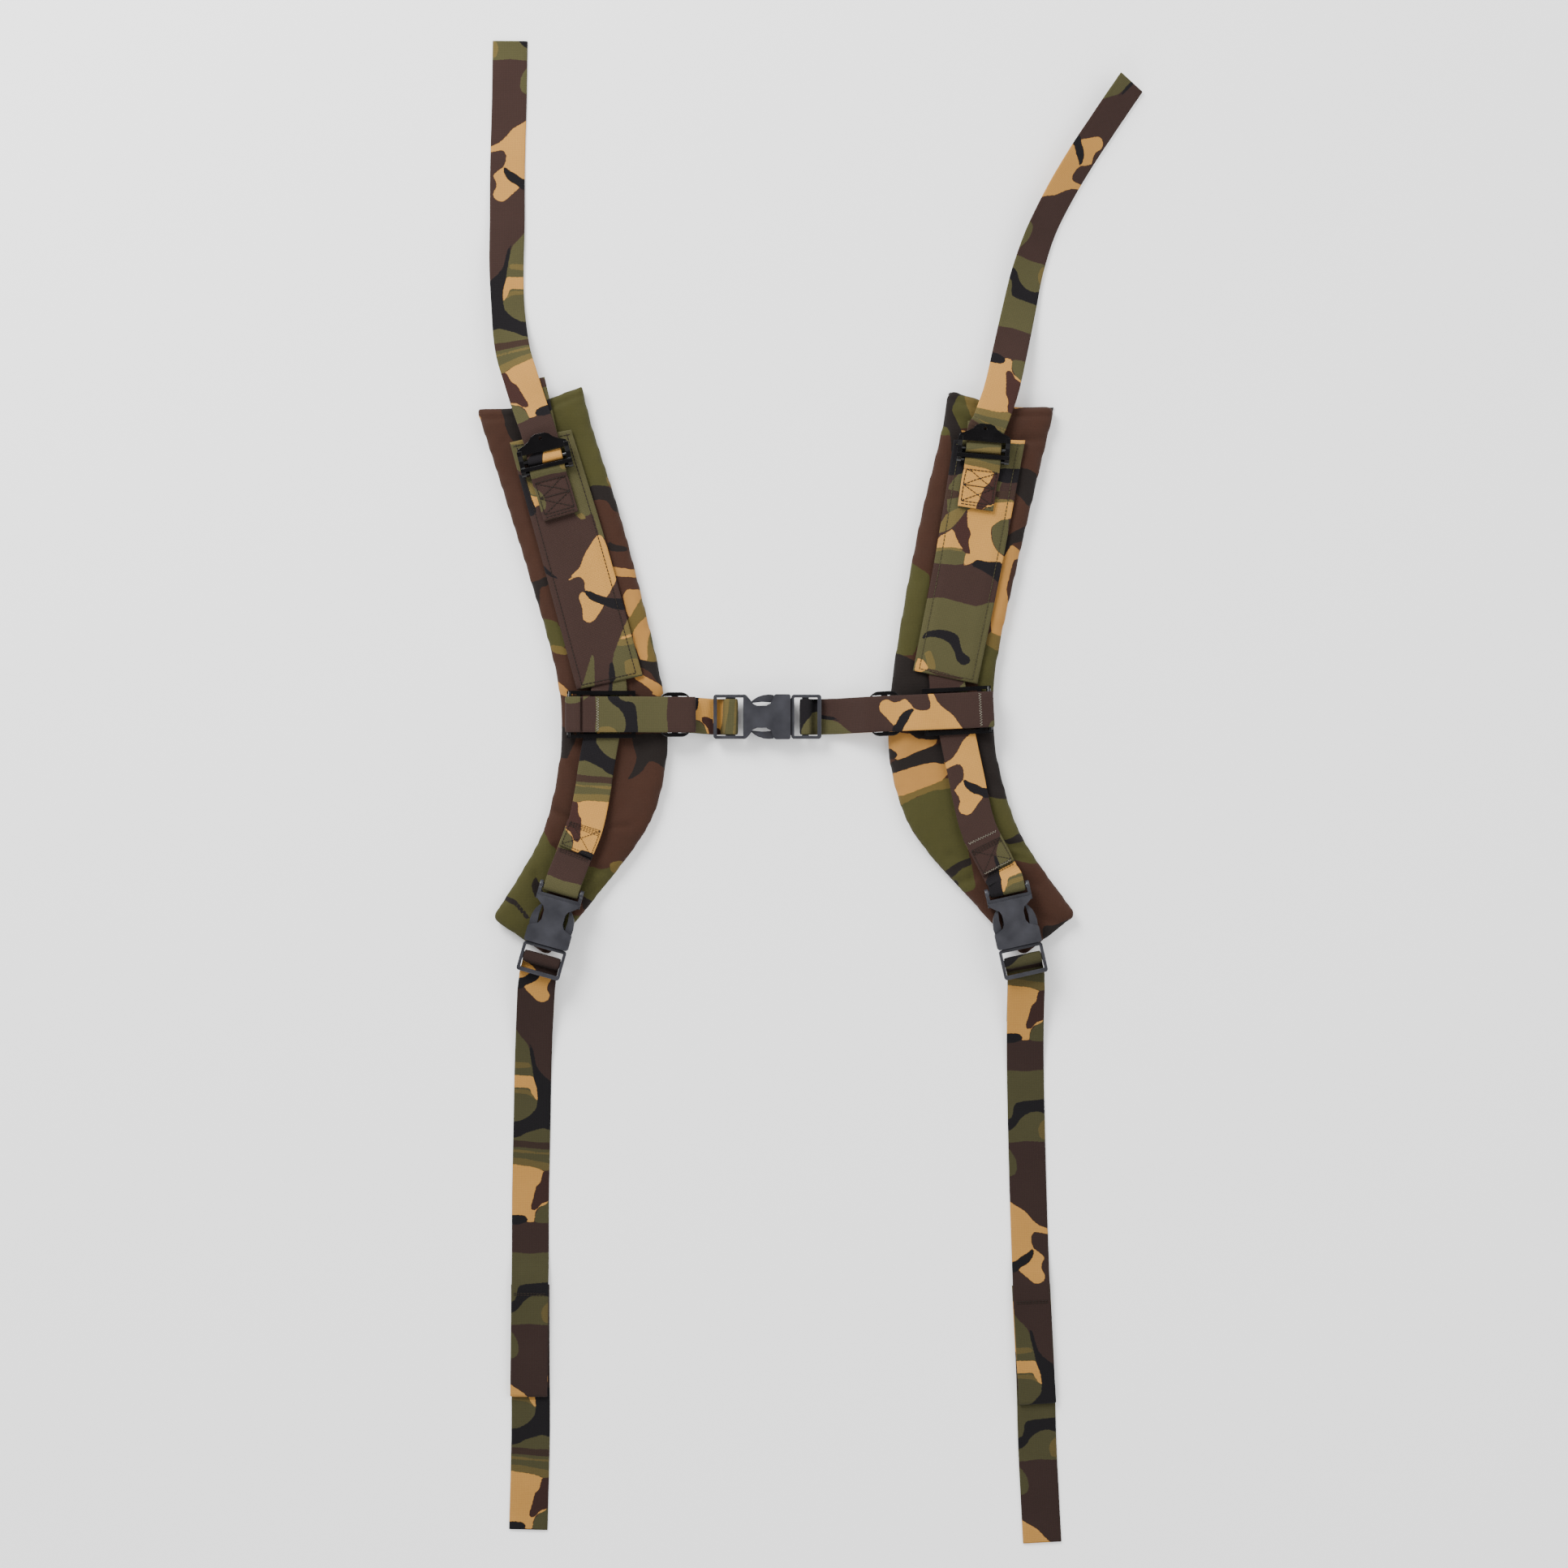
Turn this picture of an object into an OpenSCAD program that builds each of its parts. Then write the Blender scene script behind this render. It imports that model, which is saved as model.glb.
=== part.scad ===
// Pair of padded rucksack shoulder straps with a sternum strap, laid out flat.
// +X is the wearer's left when laid face up, +Y runs to the top straps, +Z is up.
// The origin is on the floor, under the middle of the whole layout.

/* [Webbing] */
// Width of the webbing at the shoulders and chest
web_w = 25; // [24:0.5:25.5]
// Width of the lower straps
low_web_w = 26; // [25:0.5:26]
// Thickness of the webbing
web_t = 1.4; // [1.2:0.05:1.4]

/* [Pads] */
// Thickness of a finished pad
pad_t = 12; // [10:0.5:14]
// Thickness of the pad cloth
cloth_t = 1.0; // [0.6:0.1:1.2]
// Corner radius of a pad
pad_corner_r = 5; // [3:1:8]
// Angle between the two pads
pad_splay = 4.1; // [3.5:0.1:4.5]

/* [Side release buckles] */
// Overall width of a buckle
buckle_w = 31.5; // [31:0.5:33]
// Thickness through the female body
buckle_t = 9.2; // [9:0.1:10]
// Width of the female neck between the prongs
neck_w = 15.4; // [14:0.2:17]
// Length of the female mouth block
mouth_l = 11.3; // [11:0.1:12]
// Thickness of the webbing frames
frame_t = 5; // [4.6:0.1:5]
// Thickness of a prong
prong_t = 4.4; // [4:0.1:4.5]

/* [Ladder locks] */
// Overall width of a ladder lock
lock_w = 36.6; // [34:0.2:38]
// Radius of its round bars
lock_bar_r = 1.6; // [1.4:0.1:1.6]

/* [Sternum sliders] */
// Length of a slider along its strap channel
slider_l = 33; // [31:0.5:33]
// Clear width of the channel for the shoulder webbing
slider_gap = 36; // [35:0.5:36]

/* [Tri-glides] */
// Size of a tri-glide along its strap
glide_l = 22.5; // [21:0.5:23]
// Size of a tri-glide across its strap
glide_w = 31.3; // [30:0.2:33]

/* [Hidden] */
$fn = 32;

LEFT = 0;
RIGHT = 1;
gap = 0.1;
plastic = [0.13, 0.13, 0.14];
olive = [0.36, 0.35, 0.22];
brown = [0.31, 0.22, 0.18];

// Heights of the stacked layers: centre lines of the webbing, middle of the hardware
web_z = pad_t + gap + web_t / 2;
panel_z = pad_t + web_t + 2 * gap;
lifted_z = pad_t + 1.55 + web_t / 2;
lock_z = panel_z + web_t + gap + 3.3;
low_buckle_z = pad_t + 5;
chest_buckle_z = 9;
slider_bar_z = pad_t + 3.3;

// Pad edges from top to bottom on the left pad
outer_edge = [
    [-235.9, 270], [-213.5, 200], [-197.5, 148], [-184.5, 104], [-177.2, 70], [-176, 36],
    [-179.5, 8], [-187.5, -24], [-201, -51], [-225, -89]
];
inner_edge = [
    [-183, -117], [-146, -71], [-121, -39], [-107, -14], [-99.6, 16], [-98.3, 42],
    [-101.5, 73], [-113, 125], [-131.5, 195], [-151, 256], [-158.6, 287]
];
top_edge = [[-184, 277], [-209, 270.5]];
// The right pad is the left one mirrored across this line and turned about a point
mirror_x = -27;
splay_centre = [140, 162.5];

// Corners of the wide panels, each read clockwise from its upper left corner
panel_corners = [
    [[-210, 244.5], [-167, 253.5], [-144, 179], [-117, 81.5], [-163, 71.5], [-187.5, 162.5]],
    [[100.5, 246.5], [150.5, 246], [134.5, 160], [117, 75.5], [72, 85], [87.5, 165]]
];

// Shoulder webbing, from under the wide panel down to its sewn end
centre_route = [
    [[-188, 246, web_z, 0], [-166.5, 170, web_z, 0], [-144.5, 90, web_z, 0],
     [-140.6, 73.6, web_z, 0], [-141.5, 65.6, lifted_z, 0], [-145.6, 40, lifted_z, 0],
     [-150, 14, lifted_z, 0], [-152, 0, lifted_z, 0], [-156.8, -23, web_z + 3, 0],
     [-163.9, -41.5, web_z + 3.5, 0]],
    [[125.4, 243, web_z, 0], [110, 160, web_z, 0], [97, 96, web_z, 0],
     [96.1, 75.8, web_z, 0], [97.4, 68, lifted_z, 0], [103, 40, lifted_z, 0],
     [109.4, 10, lifted_z, 0], [112.4, -5, lifted_z, 0], [118.3, -27, web_z + 3, 0],
     [131.4, -53, web_z + 4.4, 0]]
];

// Ladder locks: middle of the lower bar, heading up the strap, heading of the tab
lock_at = [[-183.2, 225.3], [120.4, 231.6]];
lock_heading = [103, 85.5];
tab_heading = [286, 261.5];
tab_l = 34;
tail_profile = [
    [[16.6, -2.45], [28, -2.45], [36, -4.9], [50, -5.5], [64, -6.1]],
    [[16.6, -2.45], [22, -2.55], [27, -3.4]]
];

// Top straps from the lock outwards: x, y, height of the centre line, roll
top_route = [
    [[-190.5, 254.5, 17.6, 0], [-196.2, 270.5, 15.3, 0], [-202.3, 289.8, 14.1, 0],
     [-208.2, 310, 10.5, 8], [-211.6, 338, 6.6, 22], [-212.8, 368, 5.4, 16],
     [-212.5, 400, 2.8, 5], [-212.4, 440, 1, 0], [-211.2, 485, 0.9, 0],
     [-210.6, 527.6, 0.9, 0]],
    [[124.8, 256.5, 17.6, 0], [129, 267.5, 15.6, 0], [134.4, 284, 14.3, 0],
     [140.3, 309.7, 10.5, 6], [146.3, 337, 7, 14], [152.3, 364, 7.2, 24],
     [161.4, 391.5, 8.2, 33], [174.7, 418.8, 8.4, 35], [190.9, 446, 8.4, 35],
     [209, 473.3, 8.4, 35], [225.4, 497.4, 8.4, 35]]
];

// Lower buckles: middle of the fixed loop's bar, and the heading of each buckle
hinge_at = [[-173.6, -68.3], [137.7, -68]];
low_heading = [-105.8, -77.4];
chest_at = [-13.6, 52.8];

// Lower straps beyond the buckle, to the fold that ends them
lower_route = [
    [[-191.8, -139, 11.4, 0], [-193.3, -165, 5, 0], [-194.5, -195, 1.2, 0],
     [-195.3, -235, 0.8, 0], [-196.3, -285, 0.8, 0], [-196.4, -322, 1.1, 0],
     [-196.5, -345, 3.6, 0], [-196.9, -380, 4, 0], [-197.3, -418, 4, 0]],
    [[151.2, -139, 11.4, 0], [151, -165, 5, 0], [151.3, -195, 1.2, 0],
     [152.1, -235, 0.8, 0], [153.4, -285, 0.8, 0], [154.6, -322, 1.1, 0],
     [155.3, -345, 3.6, 0], [157, -382, 4, 0], [159.5, -423, 4, 0]]
];
lower_tail = [
    [[-193.1, -161, 3.9, 0], [-191.7, -140, 9.4, 0]],
    [[150.9, -161, 3.9, 0], [151.1, -140, 9.4, 0]]
];
fold_heading = [-90.6, -86.5];
fold_return = [
    [[-196.9, -385, 2.25, 0], [-196.5, -352, 2.25, 0]],
    [[157.1, -385, 2.25, 0], [155.5, -352, 2.25, 0]]
];
extension_route = [
    [[-196.5, -346, 0.8, 0], [-196.4, -400, 0.8, 0], [-196.2, -450, 0.8, 0],
     [-197.8, -518, 0.8, 0]],
    [[155.3, -346, 0.8, 0], [158.4, -410, 0.8, 0], [159.8, -460, 0.8, 0],
     [163.2, -527.1, 0.8, 0]]
];

// Keepers: the webbing loops that hold the lower buckles
keeper_lower_leg = [
    [[-157.6, -23.5, web_z, 0], [-162, -35, web_z, 0], [-167, -49, web_z, 0]],
    [[117.8, -27, web_z, 0], [123.6, -38, web_z, 0], [130.5, -51, web_z, 0]]
];
keeper_upper_leg = [
    [[-166.3, -47.5, web_z + 2.9, 0], [-164.3, -42.3, web_z + 1.8, 0],
     [-161.4, -34, web_z + 1.5, 0], [-157.4, -23.5, web_z + 1.5, 0]],
    [[133.4, -57, web_z + 3.4, 0], [131, -52.2, web_z + 2.4, 0],
     [126, -42, web_z + 1.5, 0], [117.8, -27, web_z + 1.5, 0]]
];

// Sternum sliders: middle of the strap channel and the turn of each slider
slider_at = [[-142.5, 54.3], [99.7, 56.6]];
slider_turn = [180, 3];
glide_at = [[-94.4, 54.2], [52.6, 54.9]];
glide_turn = [0, 3];
glide_z = pad_t + 1.65;
slider_bar_x = slider_gap / 2 + 7.7;

chest_strap = [
    [-158.3, 54.3, slider_bar_z + 4.5, 0], [-140, 54.3, slider_bar_z + 4.5, 0],
    [-122, 54.3, slider_bar_z + 4.2, 0], [-108, 54.2, pad_t + 5.6, 0],
    [-96, 54.2, pad_t + 5.1, 0], [-84, 54.2, pad_t + 5, 0]
];
chest_fold_end = [[-84, 54.2, pad_t + 0.85, 0], [-91, 54.2, pad_t + 0.85, 0]];
chest_loop_top = [[-90, 54, 11, 0], [-82, 53.9, 10.4, 0], [-75, 53.4, 8, 0]];
chest_loop_bottom = [[-75, 53.3, 6.2, 0], [-82, 53.8, 8.7, 0], [-90, 54, 9.3, 0]];
right_chest_tail = [[43, 54.3, 9.4, 0], [32, 53.8, 7.2, 0], [20, 53.1, 4.8, 0]];
right_chest_strap = [
    [20, 53.1, 6.8, 0], [28, 53.6, 10.2, 0], [34.5, 53.9, 14.2, 0],
    [40.5, 54.2, pad_t + 5, 0], [52, 54.8, pad_t + 5, 0], [64, 55.2, pad_t + 5.2, 0],
    [76, 55.7, slider_bar_z + 3.9, 0],
    [86, 56.1, slider_bar_z + 4.5, 0], [108, 57.1, slider_bar_z + 4.5, 0]
];

// Places along a buckle, counted from the mouth face towards the male half
window_end = -31;
fixed_bar_u = -40.1;
male_bar_u = 10.4;
male_end = 21.6;
chest_bar_u = -42;
chest_end = -54;
inner_w = 26.8;
plate_in = 2.7;
prong_root = [-2.5, 11.2];

// ---- helpers ----

function unit(v) = v / norm(v);
function along(h) = [cos(h), sin(h), 0];
function across(h) = [-sin(h), cos(h), 0];

// One point of a Catmull-Rom curve between b and c
function curve_point(a, b, c, d, t) =
    (2 * b + (c - a) * t + (2 * a - 5 * b + 4 * c - d) * t * t
     + (3 * b - a - 3 * c + d) * t * t * t) / 2;

// A smooth curve through the points p, with n steps to each span
function smooth(p, n) = let (last = len(p) - 1) concat(
    [for (i = [0:last - 1], k = [0:n - 1])
        curve_point(p[max(i - 1, 0)], p[i], p[i + 1], p[min(i + 2, last)], k / n)],
    [p[last]]);

// Stations are [place, side]: side is the unit vector across the webbing.
// A free route gives x, y, height and roll; facing -1 flips the side.
function free_stations(route, n = 2, facing = 1) = let (q = smooth(route, n))
    [for (i = [0:len(q) - 1]) let (
        a = q[max(i - 1, 0)],
        b = q[min(i + 1, len(q) - 1)],
        s = facing * unit([a[1] - b[1], b[0] - a[0], 0]),
        roll = q[i][3])
        [[q[i][0], q[i][1], q[i][2]], s * cos(roll) + [0, 0, sin(roll)]]];

// A hoop is drawn in an upright plane: [distance along the heading, height]
function hoop_stations(at, z, heading, profile, n = 2) = let (q = smooth(profile, n))
    [for (p = q) [[at[0], at[1], z] + along(heading) * p[0] + [0, 0, p[1]],
        across(heading)]];

function backwards(list) = [for (i = [len(list) - 1:-1:0]) list[i]];
function heading_at(at, heading, u) = [at[0] + cos(heading) * u, at[1] + sin(heading) * u];

// Webbing as one closed band through its stations
module webbing(stations, w = web_w, t = web_t) {
    last = len(stations) - 1;
    corners = [[1, 1], [-1, 1], [-1, -1], [1, -1]];
    points = [for (i = [0:last]) let (
        d = unit(stations[min(i + 1, last)][0] - stations[max(i - 1, 0)][0]),
        side = stations[i][1],
        up = unit(cross(d, side)))
        for (c = corners) stations[i][0] + side * c[0] * w / 2 + up * c[1] * t / 2];
    walls = [for (i = [0:last - 1], j = [0:3]) let (
        a = 4 * i + j,
        b = 4 * i + (j + 1) % 4)
        each [[a, a + 4, b], [b, a + 4, b + 4]]];
    ends = [[0, 1, 2], [0, 2, 3], [4 * last, 4 * last + 2, 4 * last + 1],
        [4 * last, 4 * last + 3, 4 * last + 2]];
    polyhedron(points, concat(walls, ends));
}

// Webbing once round the flat bar of an adjuster: long leg on top, tail below
function adjuster_hoop(half) = [
    [half + 8, -3.45], [half + 4.4, -3.4], [half + 1.9, -2.1], [half + 1, 0],
    [half - 0.3, 1.85], [0, 1.95], [0.3 - half, 1.85], [-half - 1, 0],
    [-half - 0.2, -1.95], [0, -2.8], [half + 0.8, -4.2], [half + 4, -5.05],
    [half + 8, -5.05]
];

// Webbing round the outer bar of a slider: upper leg, bar, lower leg
slider_hoop = [
    [-8, 4.5], [-5, 4.3], [-2.2, 3.3], [0, 2.5], [1.8, 1.6], [2.45, 0], [1.8, -1.6],
    [0, -2.45], [-1.9, -1.5], [-2.9, 0.3], [-4, 2.3], [-6, 2.85], [-12, 2.9], [-18, 2.9]
];

// ---- pads ----

module pad_outline(inset = 0) {
    offset(delta = -inset) offset(r = pad_corner_r) offset(delta = -pad_corner_r)
        polygon(concat(smooth(outer_edge, 3), smooth(inner_edge, 3), top_edge));
}

// Places a left-hand piece, or its mirrored and turned twin
module on_side(side) {
    if (side == LEFT) children();
    else translate([splay_centre[0], splay_centre[1], 0]) rotate(pad_splay)
        translate([-splay_centre[0], -splay_centre[1], 0])
        translate([2 * mirror_x, 0, 0]) mirror([1, 0, 0]) children();
}

module back_cover(side) color(brown) on_side(side)
    linear_extrude(cloth_t) pad_outline();

module foam_core(side) color([0.85, 0.83, 0.74]) on_side(side)
    translate([0, 0, cloth_t + gap]) linear_extrude(pad_t - 2 * cloth_t - 2 * gap)
        pad_outline(2 * cloth_t);

module front_cover(side) color(olive) on_side(side) difference() {
    translate([0, 0, cloth_t]) linear_extrude(pad_t - cloth_t) pad_outline();
    translate([0, 0, cloth_t - gap]) linear_extrude(pad_t - 2 * cloth_t + gap)
        pad_outline(2 * cloth_t - 2 * gap);
}

module wide_panel(side) color(olive)
    translate([0, 0, panel_z]) linear_extrude(web_t) polygon(panel_corners[side]);

// ---- webbing sewn to the pads ----

module centre_webbing(side) color(olive) webbing(free_stations(centre_route[side]));

module buckle_keeper(side) color(brown) {
    r = 2.65;
    profile = concat([[-7, -3.6], [-3.4, -3.05]],
        [for (a = [-90:30:90]) [r * cos(a), r * sin(a)]], [[-3.6, 2.6], [-7.5, 1.9]]);
    webbing(concat(free_stations(keeper_lower_leg[side]),
        hoop_stations(hinge_at[side], low_buckle_z, low_heading[side], profile, 1),
        free_stations(keeper_upper_leg[side], 2, -1)));
}

module lock_tab(side) color(brown) {
    r = lock_bar_r + gap + web_t / 2;
    profile = concat([[7.5, -0.95], [4.4, 0.5]],
        [for (a = [70:30:280]) [r * cos(a), r * sin(a)]], [[6, -2.6]]);
    near = heading_at(lock_at[side], tab_heading[side], 14);
    end = heading_at(lock_at[side], tab_heading[side], tab_l);
    webbing(concat(
        free_stations([[end[0], end[1], lock_z - 1.05, 0], [near[0], near[1], lock_z - 1.05, 0]],
            1, -1),
        hoop_stations(lock_at[side], lock_z, lock_heading[side] + 180, profile, 1),
        free_stations([[near[0], near[1], lock_z - 2.55, 0], [end[0], end[1], lock_z - 2.55, 0]],
            1)));
}

module top_strap(side) color(brown) {
    start = hoop_stations(lock_at[side], lock_z, lock_heading[side],
        [[17, -0.45], [21, -0.5]], 1);
    webbing(concat(start, free_stations(top_route[side], 3)), web_w - 0.5);
    webbing(hoop_stations(lock_at[side], lock_z, lock_heading[side], tail_profile[side]),
        web_w - 0.5);
}

// ---- ladder locks ----

// The lock lies along +X from its lower bar, which a lip covers; the thumb tab is at the far end
module lock_frame() {
    rail_t = 3.2;
    rotate([90, 0, 0]) for (x = [0, 7.6]) translate([x, 0, 0])
        cylinder(r = lock_bar_r, h = lock_w - 1, center = true);
    for (s = [-1, 1]) translate([0, s * (lock_w - rail_t) / 2, 0]) rotate([90, 0, 0])
        linear_extrude(rail_t, center = true)
            polygon([[-1.9, -1.7], [13.5, -1.7], [15.8, 1.4], [15.8, 4], [12.6, 4],
                [9, 2.6], [4.6, 2.6], [3.6, 4], [1, 4], [-0.8, 1.9], [-1.9, 1.2]]);
    rotate([90, 0, 0]) linear_extrude(lock_w - 1, center = true)
        polygon([[1, 3.2], [2, 2.6], [2.75, 1.75], [3.2, 0.8], [4.1, 0.8], [4.1, 3.5],
            [3.6, 4], [1, 4]]);
    translate([12.8, -lock_w / 2, 1.3]) cube([2.8, lock_w, 2.6]);
    translate([0, 0, 2]) linear_extrude(1.9) difference() {
        polygon([[15, -lock_w / 2], [17.4, -lock_w / 2 + 1.2], [19.2, -12.5], [21.4, -8.6],
            [24, -6.4], [25.2, -3.6], [25.2, 3.6], [24, 6.4], [21.4, 8.6], [19.2, 12.5],
            [17.4, lock_w / 2 - 1.2], [15, lock_w / 2]]);
        translate([22, 0]) circle(r = 1.3);
    }
}

module ladder_lock(side) color(plastic)
    translate([lock_at[side][0], lock_at[side][1], lock_z]) rotate(lock_heading[side])
        lock_frame();

// Webbing over the middle bar of the lock, down to where the strap starts
module lock_wrap(side) color(brown) {
    r = lock_bar_r + gap + web_t / 2;
    profile = concat([[16.3, -0.4], [13.2, 0.05], [10.5, 1.6]],
        [for (a = [90:30:270]) [7.6 + r * cos(a), r * sin(a)]], [[11.6, -2.5], [15.8, -2.5]]);
    webbing(hoop_stations(lock_at[side], lock_z, lock_heading[side], profile, 1),
        web_w - 0.5);
}

// ---- side release buckles, drawn along +X with the mouth face at zero ----

module slab(x0, x1, w, t) translate([x0, -w / 2, -t / 2]) cube([x1 - x0, w, t]);

module rounded_slab(x0, x1, w, t, r) linear_extrude(t, center = true)
    translate([x0 + r, -w / 2 + r]) minkowski_free(x1 - x0 - 2 * r, w - 2 * r, r);

// A rectangle with round corners, drawn from its lower left corner centre
module minkowski_free(l, w, r) {
    for (x = [0, l], y = [0, w]) translate([x, y]) circle(r = r);
    translate([-r, 0]) square([l + 2 * r, w]);
    translate([0, -r]) square([l, w + 2 * r]);
}

module web_bar(u, half) translate([u, 0, 0]) {
    slab(1.1 - half, half - 1.1, buckle_w - 2, 2.2);
    for (x = [1.1 - half, half - 1.1]) translate([x, 0, 0]) rotate([90, 0, 0])
        cylinder(r = 1.1, h = buckle_w - 2, center = true);
}

module neck_outline() polygon([
    [window_end - 2, -buckle_w / 2], [window_end + 0.5, -buckle_w / 2 + 1.2],
    [window_end + 3, -11.6], [window_end + 4.6, -9], [window_end + 7.5, -neck_w / 2],
    [-17, -neck_w / 2], [-14, -9.4], [-12.6, -12.2], [-mouth_l, -buckle_w / 2 + 0.4],
    [-mouth_l + 1, -buckle_w / 2 + 0.2], [-mouth_l + 1, buckle_w / 2 - 0.2],
    [-mouth_l, buckle_w / 2 - 0.4], [-12.6, 12.2], [-14, 9.4], [-17, neck_w / 2],
    [window_end + 7.5, neck_w / 2], [window_end + 4.6, 9], [window_end + 3, 11.6],
    [window_end + 0.5, buckle_w / 2 - 1.2], [window_end - 2, buckle_w / 2]
]);

// Mouth block and neck: two plates, open at the sides for the prongs
module female_body() {
    difference() {
        union() {
            rounded_slab(-mouth_l, 0, buckle_w, buckle_t, 1.5);
            linear_extrude(buckle_t, center = true) neck_outline();
        }
        slab(-mouth_l - 2, 1, inner_w + 1, 2 * plate_in);
        slab(window_end + 0.5, 1, buckle_w + 2, prong_t + 0.4);
        slab(window_end + 0.5, -mouth_l, buckle_w + 2, 2 * plate_in);
    }
    for (s = [-1, 1]) translate([window_end, s * 4 - 1, -plate_in - 0.2])
        cube([16, 2, 2 * plate_in + 0.4]);
}

module fixed_loop_female() {
    female_body();
    slab(-35.3, window_end + 0.8, buckle_w, frame_t);
    for (s = [-1, 1]) translate([0, s * (buckle_w - 2.3) / 2, 0]) {
        slab(fixed_bar_u, -35, 2.3, frame_t);
        translate([fixed_bar_u, 0, 0]) rotate([90, 0, 0])
            cylinder(r = frame_t / 2 + 0.9, h = 2.3, center = true);
    }
    translate([fixed_bar_u, 0, 0]) rotate([90, 0, 0])
        cylinder(r = 1.8, h = buckle_w - 2, center = true);
}

module adjuster_female() {
    female_body();
    difference() {
        rounded_slab(chest_end, window_end + 0.8, buckle_w - 0.5, frame_t, 2);
        slab(chest_end + 2.4, window_end - 2.2, inner_w, frame_t + 1);
    }
    web_bar(chest_bar_u, 3.5);
}

module male_frame() {
    difference() {
        union() {
            rounded_slab(0.5, male_end, buckle_w - 0.5, frame_t, 2);
            slab(-0.5, 2.5, inner_w - 1, prong_t);
        }
        slab(2.6, male_end - 2.8, inner_w, frame_t + 1);
    }
    web_bar(male_bar_u, 2.4);
    slab(-24, 0, 4, 3);
}

// One prong on the +Y side: a straight arm and a barbed head
module prong() linear_extrude(prong_t, center = true) {
    translate(prong_root) circle(r = 1.6);
    polygon([[-2.5, 9.6], [-2.5, 12.8], [-mouth_l - 0.4, 12.9], [-mouth_l - 0.5, 15.3],
        [-15, 15.6], [-19, 15.2], [-23, 13.9], [-26, 12], [-27.6, 10.6], [-27.2, 9.6],
        [-24.6, 9.9], [-20, 10.4], [-14, 10]]);
}

module at_mouth(side) {
    mouth = heading_at(hinge_at[side], low_heading[side], -fixed_bar_u);
    translate([mouth[0], mouth[1], low_buckle_z]) rotate(low_heading[side]) children();
}

module at_chest() translate([chest_at[0], chest_at[1], chest_buckle_z]) children();

module lower_female(side) color(plastic) at_mouth(side) fixed_loop_female();
module lower_male(side) color(plastic) at_mouth(side) male_frame();

// The outer prong is the one away from the wearer's middle
module outer_prong(side) color(plastic) at_mouth(side)
    mirror([0, side == LEFT ? 1 : 0, 0]) prong();
module inner_prong(side) color(plastic) at_mouth(side)
    mirror([0, side == LEFT ? 0 : 1, 0]) prong();

module sternum_female() color(plastic) at_chest() adjuster_female();
module sternum_male() color(plastic) at_chest() male_frame();
module sternum_upper_prong() color(plastic) at_chest() prong();
module sternum_lower_prong() color(plastic) at_chest() mirror([0, 1, 0]) prong();

// ---- lower straps ----

module lower_strap(side) color(brown) {
    bar = heading_at(hinge_at[side], low_heading[side], male_bar_u - fixed_bar_u);
    hoop = hoop_stations(bar, low_buckle_z, low_heading[side], adjuster_hoop(2.4));
    end = lower_route[side][len(lower_route[side]) - 1];
    fold = [for (a = [60:-30:-60]) [0.88 * cos(a), 0.88 * sin(a)]];
    webbing(concat(free_stations(lower_tail[side], 1, -1), backwards(hoop),
        free_stations(lower_route[side]),
        hoop_stations(heading_at(end, fold_heading[side], 5), 3.12, fold_heading[side], fold, 1),
        free_stations(fold_return[side], 1, -1)), low_web_w);
}

module strap_extension(side) color(olive)
    webbing(free_stations(extension_route[side], 1), low_web_w + 1);

// ---- sternum strap ----

// Channel for the shoulder webbing along Y, with the strap bar on the +X side
module slider_body() {
    wall = 2.5;
    out = slider_gap / 2 + wall;
    for (s = [-1, 1]) translate([s * (slider_gap + wall) / 2, 0, 2.45])
        cube([wall, slider_l, 4.6], center = true);
    translate([0, 0, 0.75]) cube([2 * out, 20, 1.2], center = true);
    for (s = [-1, 1]) {
        translate([-out, s * (slider_l / 2 - 1.45) - 1.45, 3.2]) cube([2 * out, 2.9, 1.55]);
        translate([out - 1, s * (slider_l / 2 - 1.1) - 1.1, 1.7])
            cube([slider_bar_x - out + 2.6, 2.2, 3.05]);
    }
    translate([slider_bar_x, 0, slider_bar_z - pad_t]) rotate([90, 0, 0])
        cylinder(r = 1.6, h = slider_l - 1, center = true);
}

module sternum_slider(side) color(plastic)
    translate([slider_at[side][0], slider_at[side][1], pad_t]) rotate(slider_turn[side])
        slider_body();

module glide_body() linear_extrude(2.4) difference() {
    translate([-glide_l / 2 + 7, -glide_w / 2 + 7])
        minkowski_free(glide_l - 14, glide_w - 14, 7);
    for (s = [-1, 1]) translate([s * 5.3 - 3.1, -12.9]) square([6.2, 25.8]);
}

module tri_glide(side) color(plastic)
    translate([glide_at[side][0], glide_at[side][1], glide_z]) rotate(glide_turn[side])
        glide_body();

function slider_bar(side) = heading_at(slider_at[side], slider_turn[side], slider_bar_x);

module left_sternum_keeper() color(brown)
    webbing(hoop_stations(slider_bar(LEFT), slider_bar_z, slider_turn[LEFT], slider_hoop));

module left_sternum_strap() color(olive) {
    fold = [for (a = [60:-30:-60]) [2.08 * cos(a), 2.08 * sin(a)]];
    webbing(concat(free_stations(chest_strap),
        hoop_stations([-82.5, 54.2], pad_t + 2.93, 0, fold, 1),
        free_stations(chest_fold_end, 1, -1)));
}

module left_sternum_loop() color(olive) {
    bar = [chest_at[0] + chest_bar_u, chest_at[1]];
    hoop = hoop_stations(bar, chest_buckle_z, 180, adjuster_hoop(3.5));
    webbing(concat(free_stations(chest_loop_top, 2, -1), hoop,
        free_stations(chest_loop_bottom, 2, 1)));
}

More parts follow.
